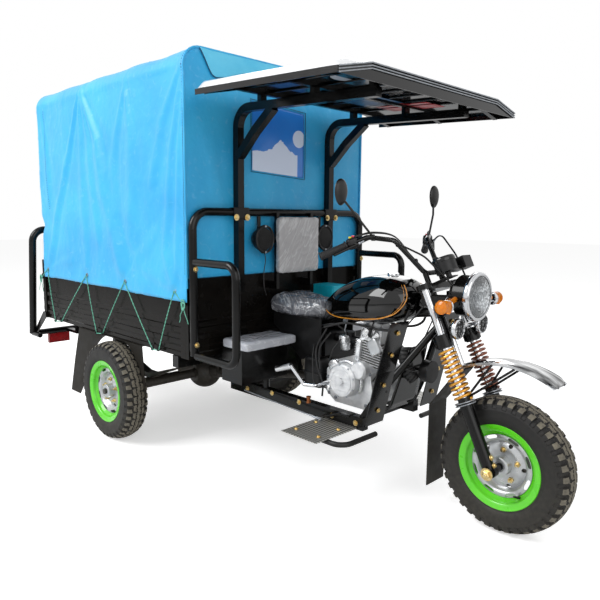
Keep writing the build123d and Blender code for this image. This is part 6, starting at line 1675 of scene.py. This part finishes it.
# Wiring strapped along the bar, and the bright ends of the lever cables
bar_wires = []
for side in (-1, 1):
    for off, size in ((10, 3.0), (15, 2.4)):
        run = [(1492, side * 282, 1196), (1540, side * 214, 1208 + off * 0.4), (1590, side * 128, 1196),
               (1650, side * 92, 1118), (1706, side * 64, 1050), (1724, side * 50, 1012)]
        beside_bar = Vector((-off * 0.4, 0, off * 0.5))
        bar_wires.append(pipe([Vector(p) + beside_bar for p in flowing(run, 10)], size, 8))
    for x, y, z in ((1600, 118, 1168), (1662, 82, 1098)):
        clip = lathe([(11.5, -4), (14, -3), (14, 3), (11.5, 4)], 20, True)
        bar_wires.append(facing(clip, (0.6, -0.36, -0.75), (x, side * y, z)))
piece("bar_wiring", join(*bar_wires), "steering", grip_rubber, smooth_angle=60)
pin = lathe([(0, 0), (6, 0), (6, 10), (4.5, 12), (4.5, 26), (0, 26)], 16)
pins = [facing(pin, (0.73, side * -0.54, 0.42), (1516, side * 288, 1173)) for side in (-1, 1)]
piece("cable_ends", join(*pins), "steering", zinc)

# Speakers: oval bezel, pierced grille and two bright screws each
SPEAKER_Z, SPEAKER_SIDES = 1168, 48
BEZEL = [(1.0, 0), (1.05, 4), (1.04, 10), (0.98, 13), (0.9, 12), (0.86, 8)]


def oval(x, y, half_wide, half_high, angle):
    """A place on an oval that faces forward round a speaker's middle."""
    return Vector((x, y + half_wide * cos(angle), SPEAKER_Z + half_high * sin(angle)))


bezels, grilles, screws = [], [], []
for y in (-206.0, 250.0):
    def bezel_point(i, j):
        share, high = BEZEL[round(j * 5)]
        turn = 2 * pi * (round(i * SPEAKER_SIDES) % SPEAKER_SIDES) / SPEAKER_SIDES
        return oval(818 + high, y, 60 * share, 70 * share, turn)

    bezels.append(surface(bezel_point, SPEAKER_SIDES, 5, True))
    for k in range(-6, 7):
        across = y + k * 7.6
        reach = 58 * sqrt(max(1 - (k / 7.0) ** 2, 0.0))
        grilles.append(pipe([(825, across, SPEAKER_Z - reach), (830, across, SPEAKER_Z),
                             (825, across, SPEAKER_Z + reach)], 2.0, 6))
    grilles.append(surface(lambda i, j: oval(822, y, 52 * j, 60 * j, 2 * pi * i), 40, 3, True))
    for z in (-66, 66):
        screw = lathe([(0, 4), (5, 3), (6, 0), (0, 0)], 16)
        screws.append(facing(screw, (1, 0, 0), (830, y, SPEAKER_Z + z)))
piece("speaker_bezels", join(*bezels), "chassis", black_abs, smooth_angle=50, wall=1.0)
piece("speaker_grilles", join(*grilles), "chassis", black_abs, smooth_angle=50)
piece("speaker_screws", join(*screws), "chassis", zinc)
wire_run = [(820, -206, 1102), (838, -214, 1060), (846, -232, 1000), (852, -236, 930), (840, -210, 880)]
wire = pipe(flowing(wire_run, 10), 2.4, 8)
piece("speaker_wire", wire, "chassis", grip_rubber)
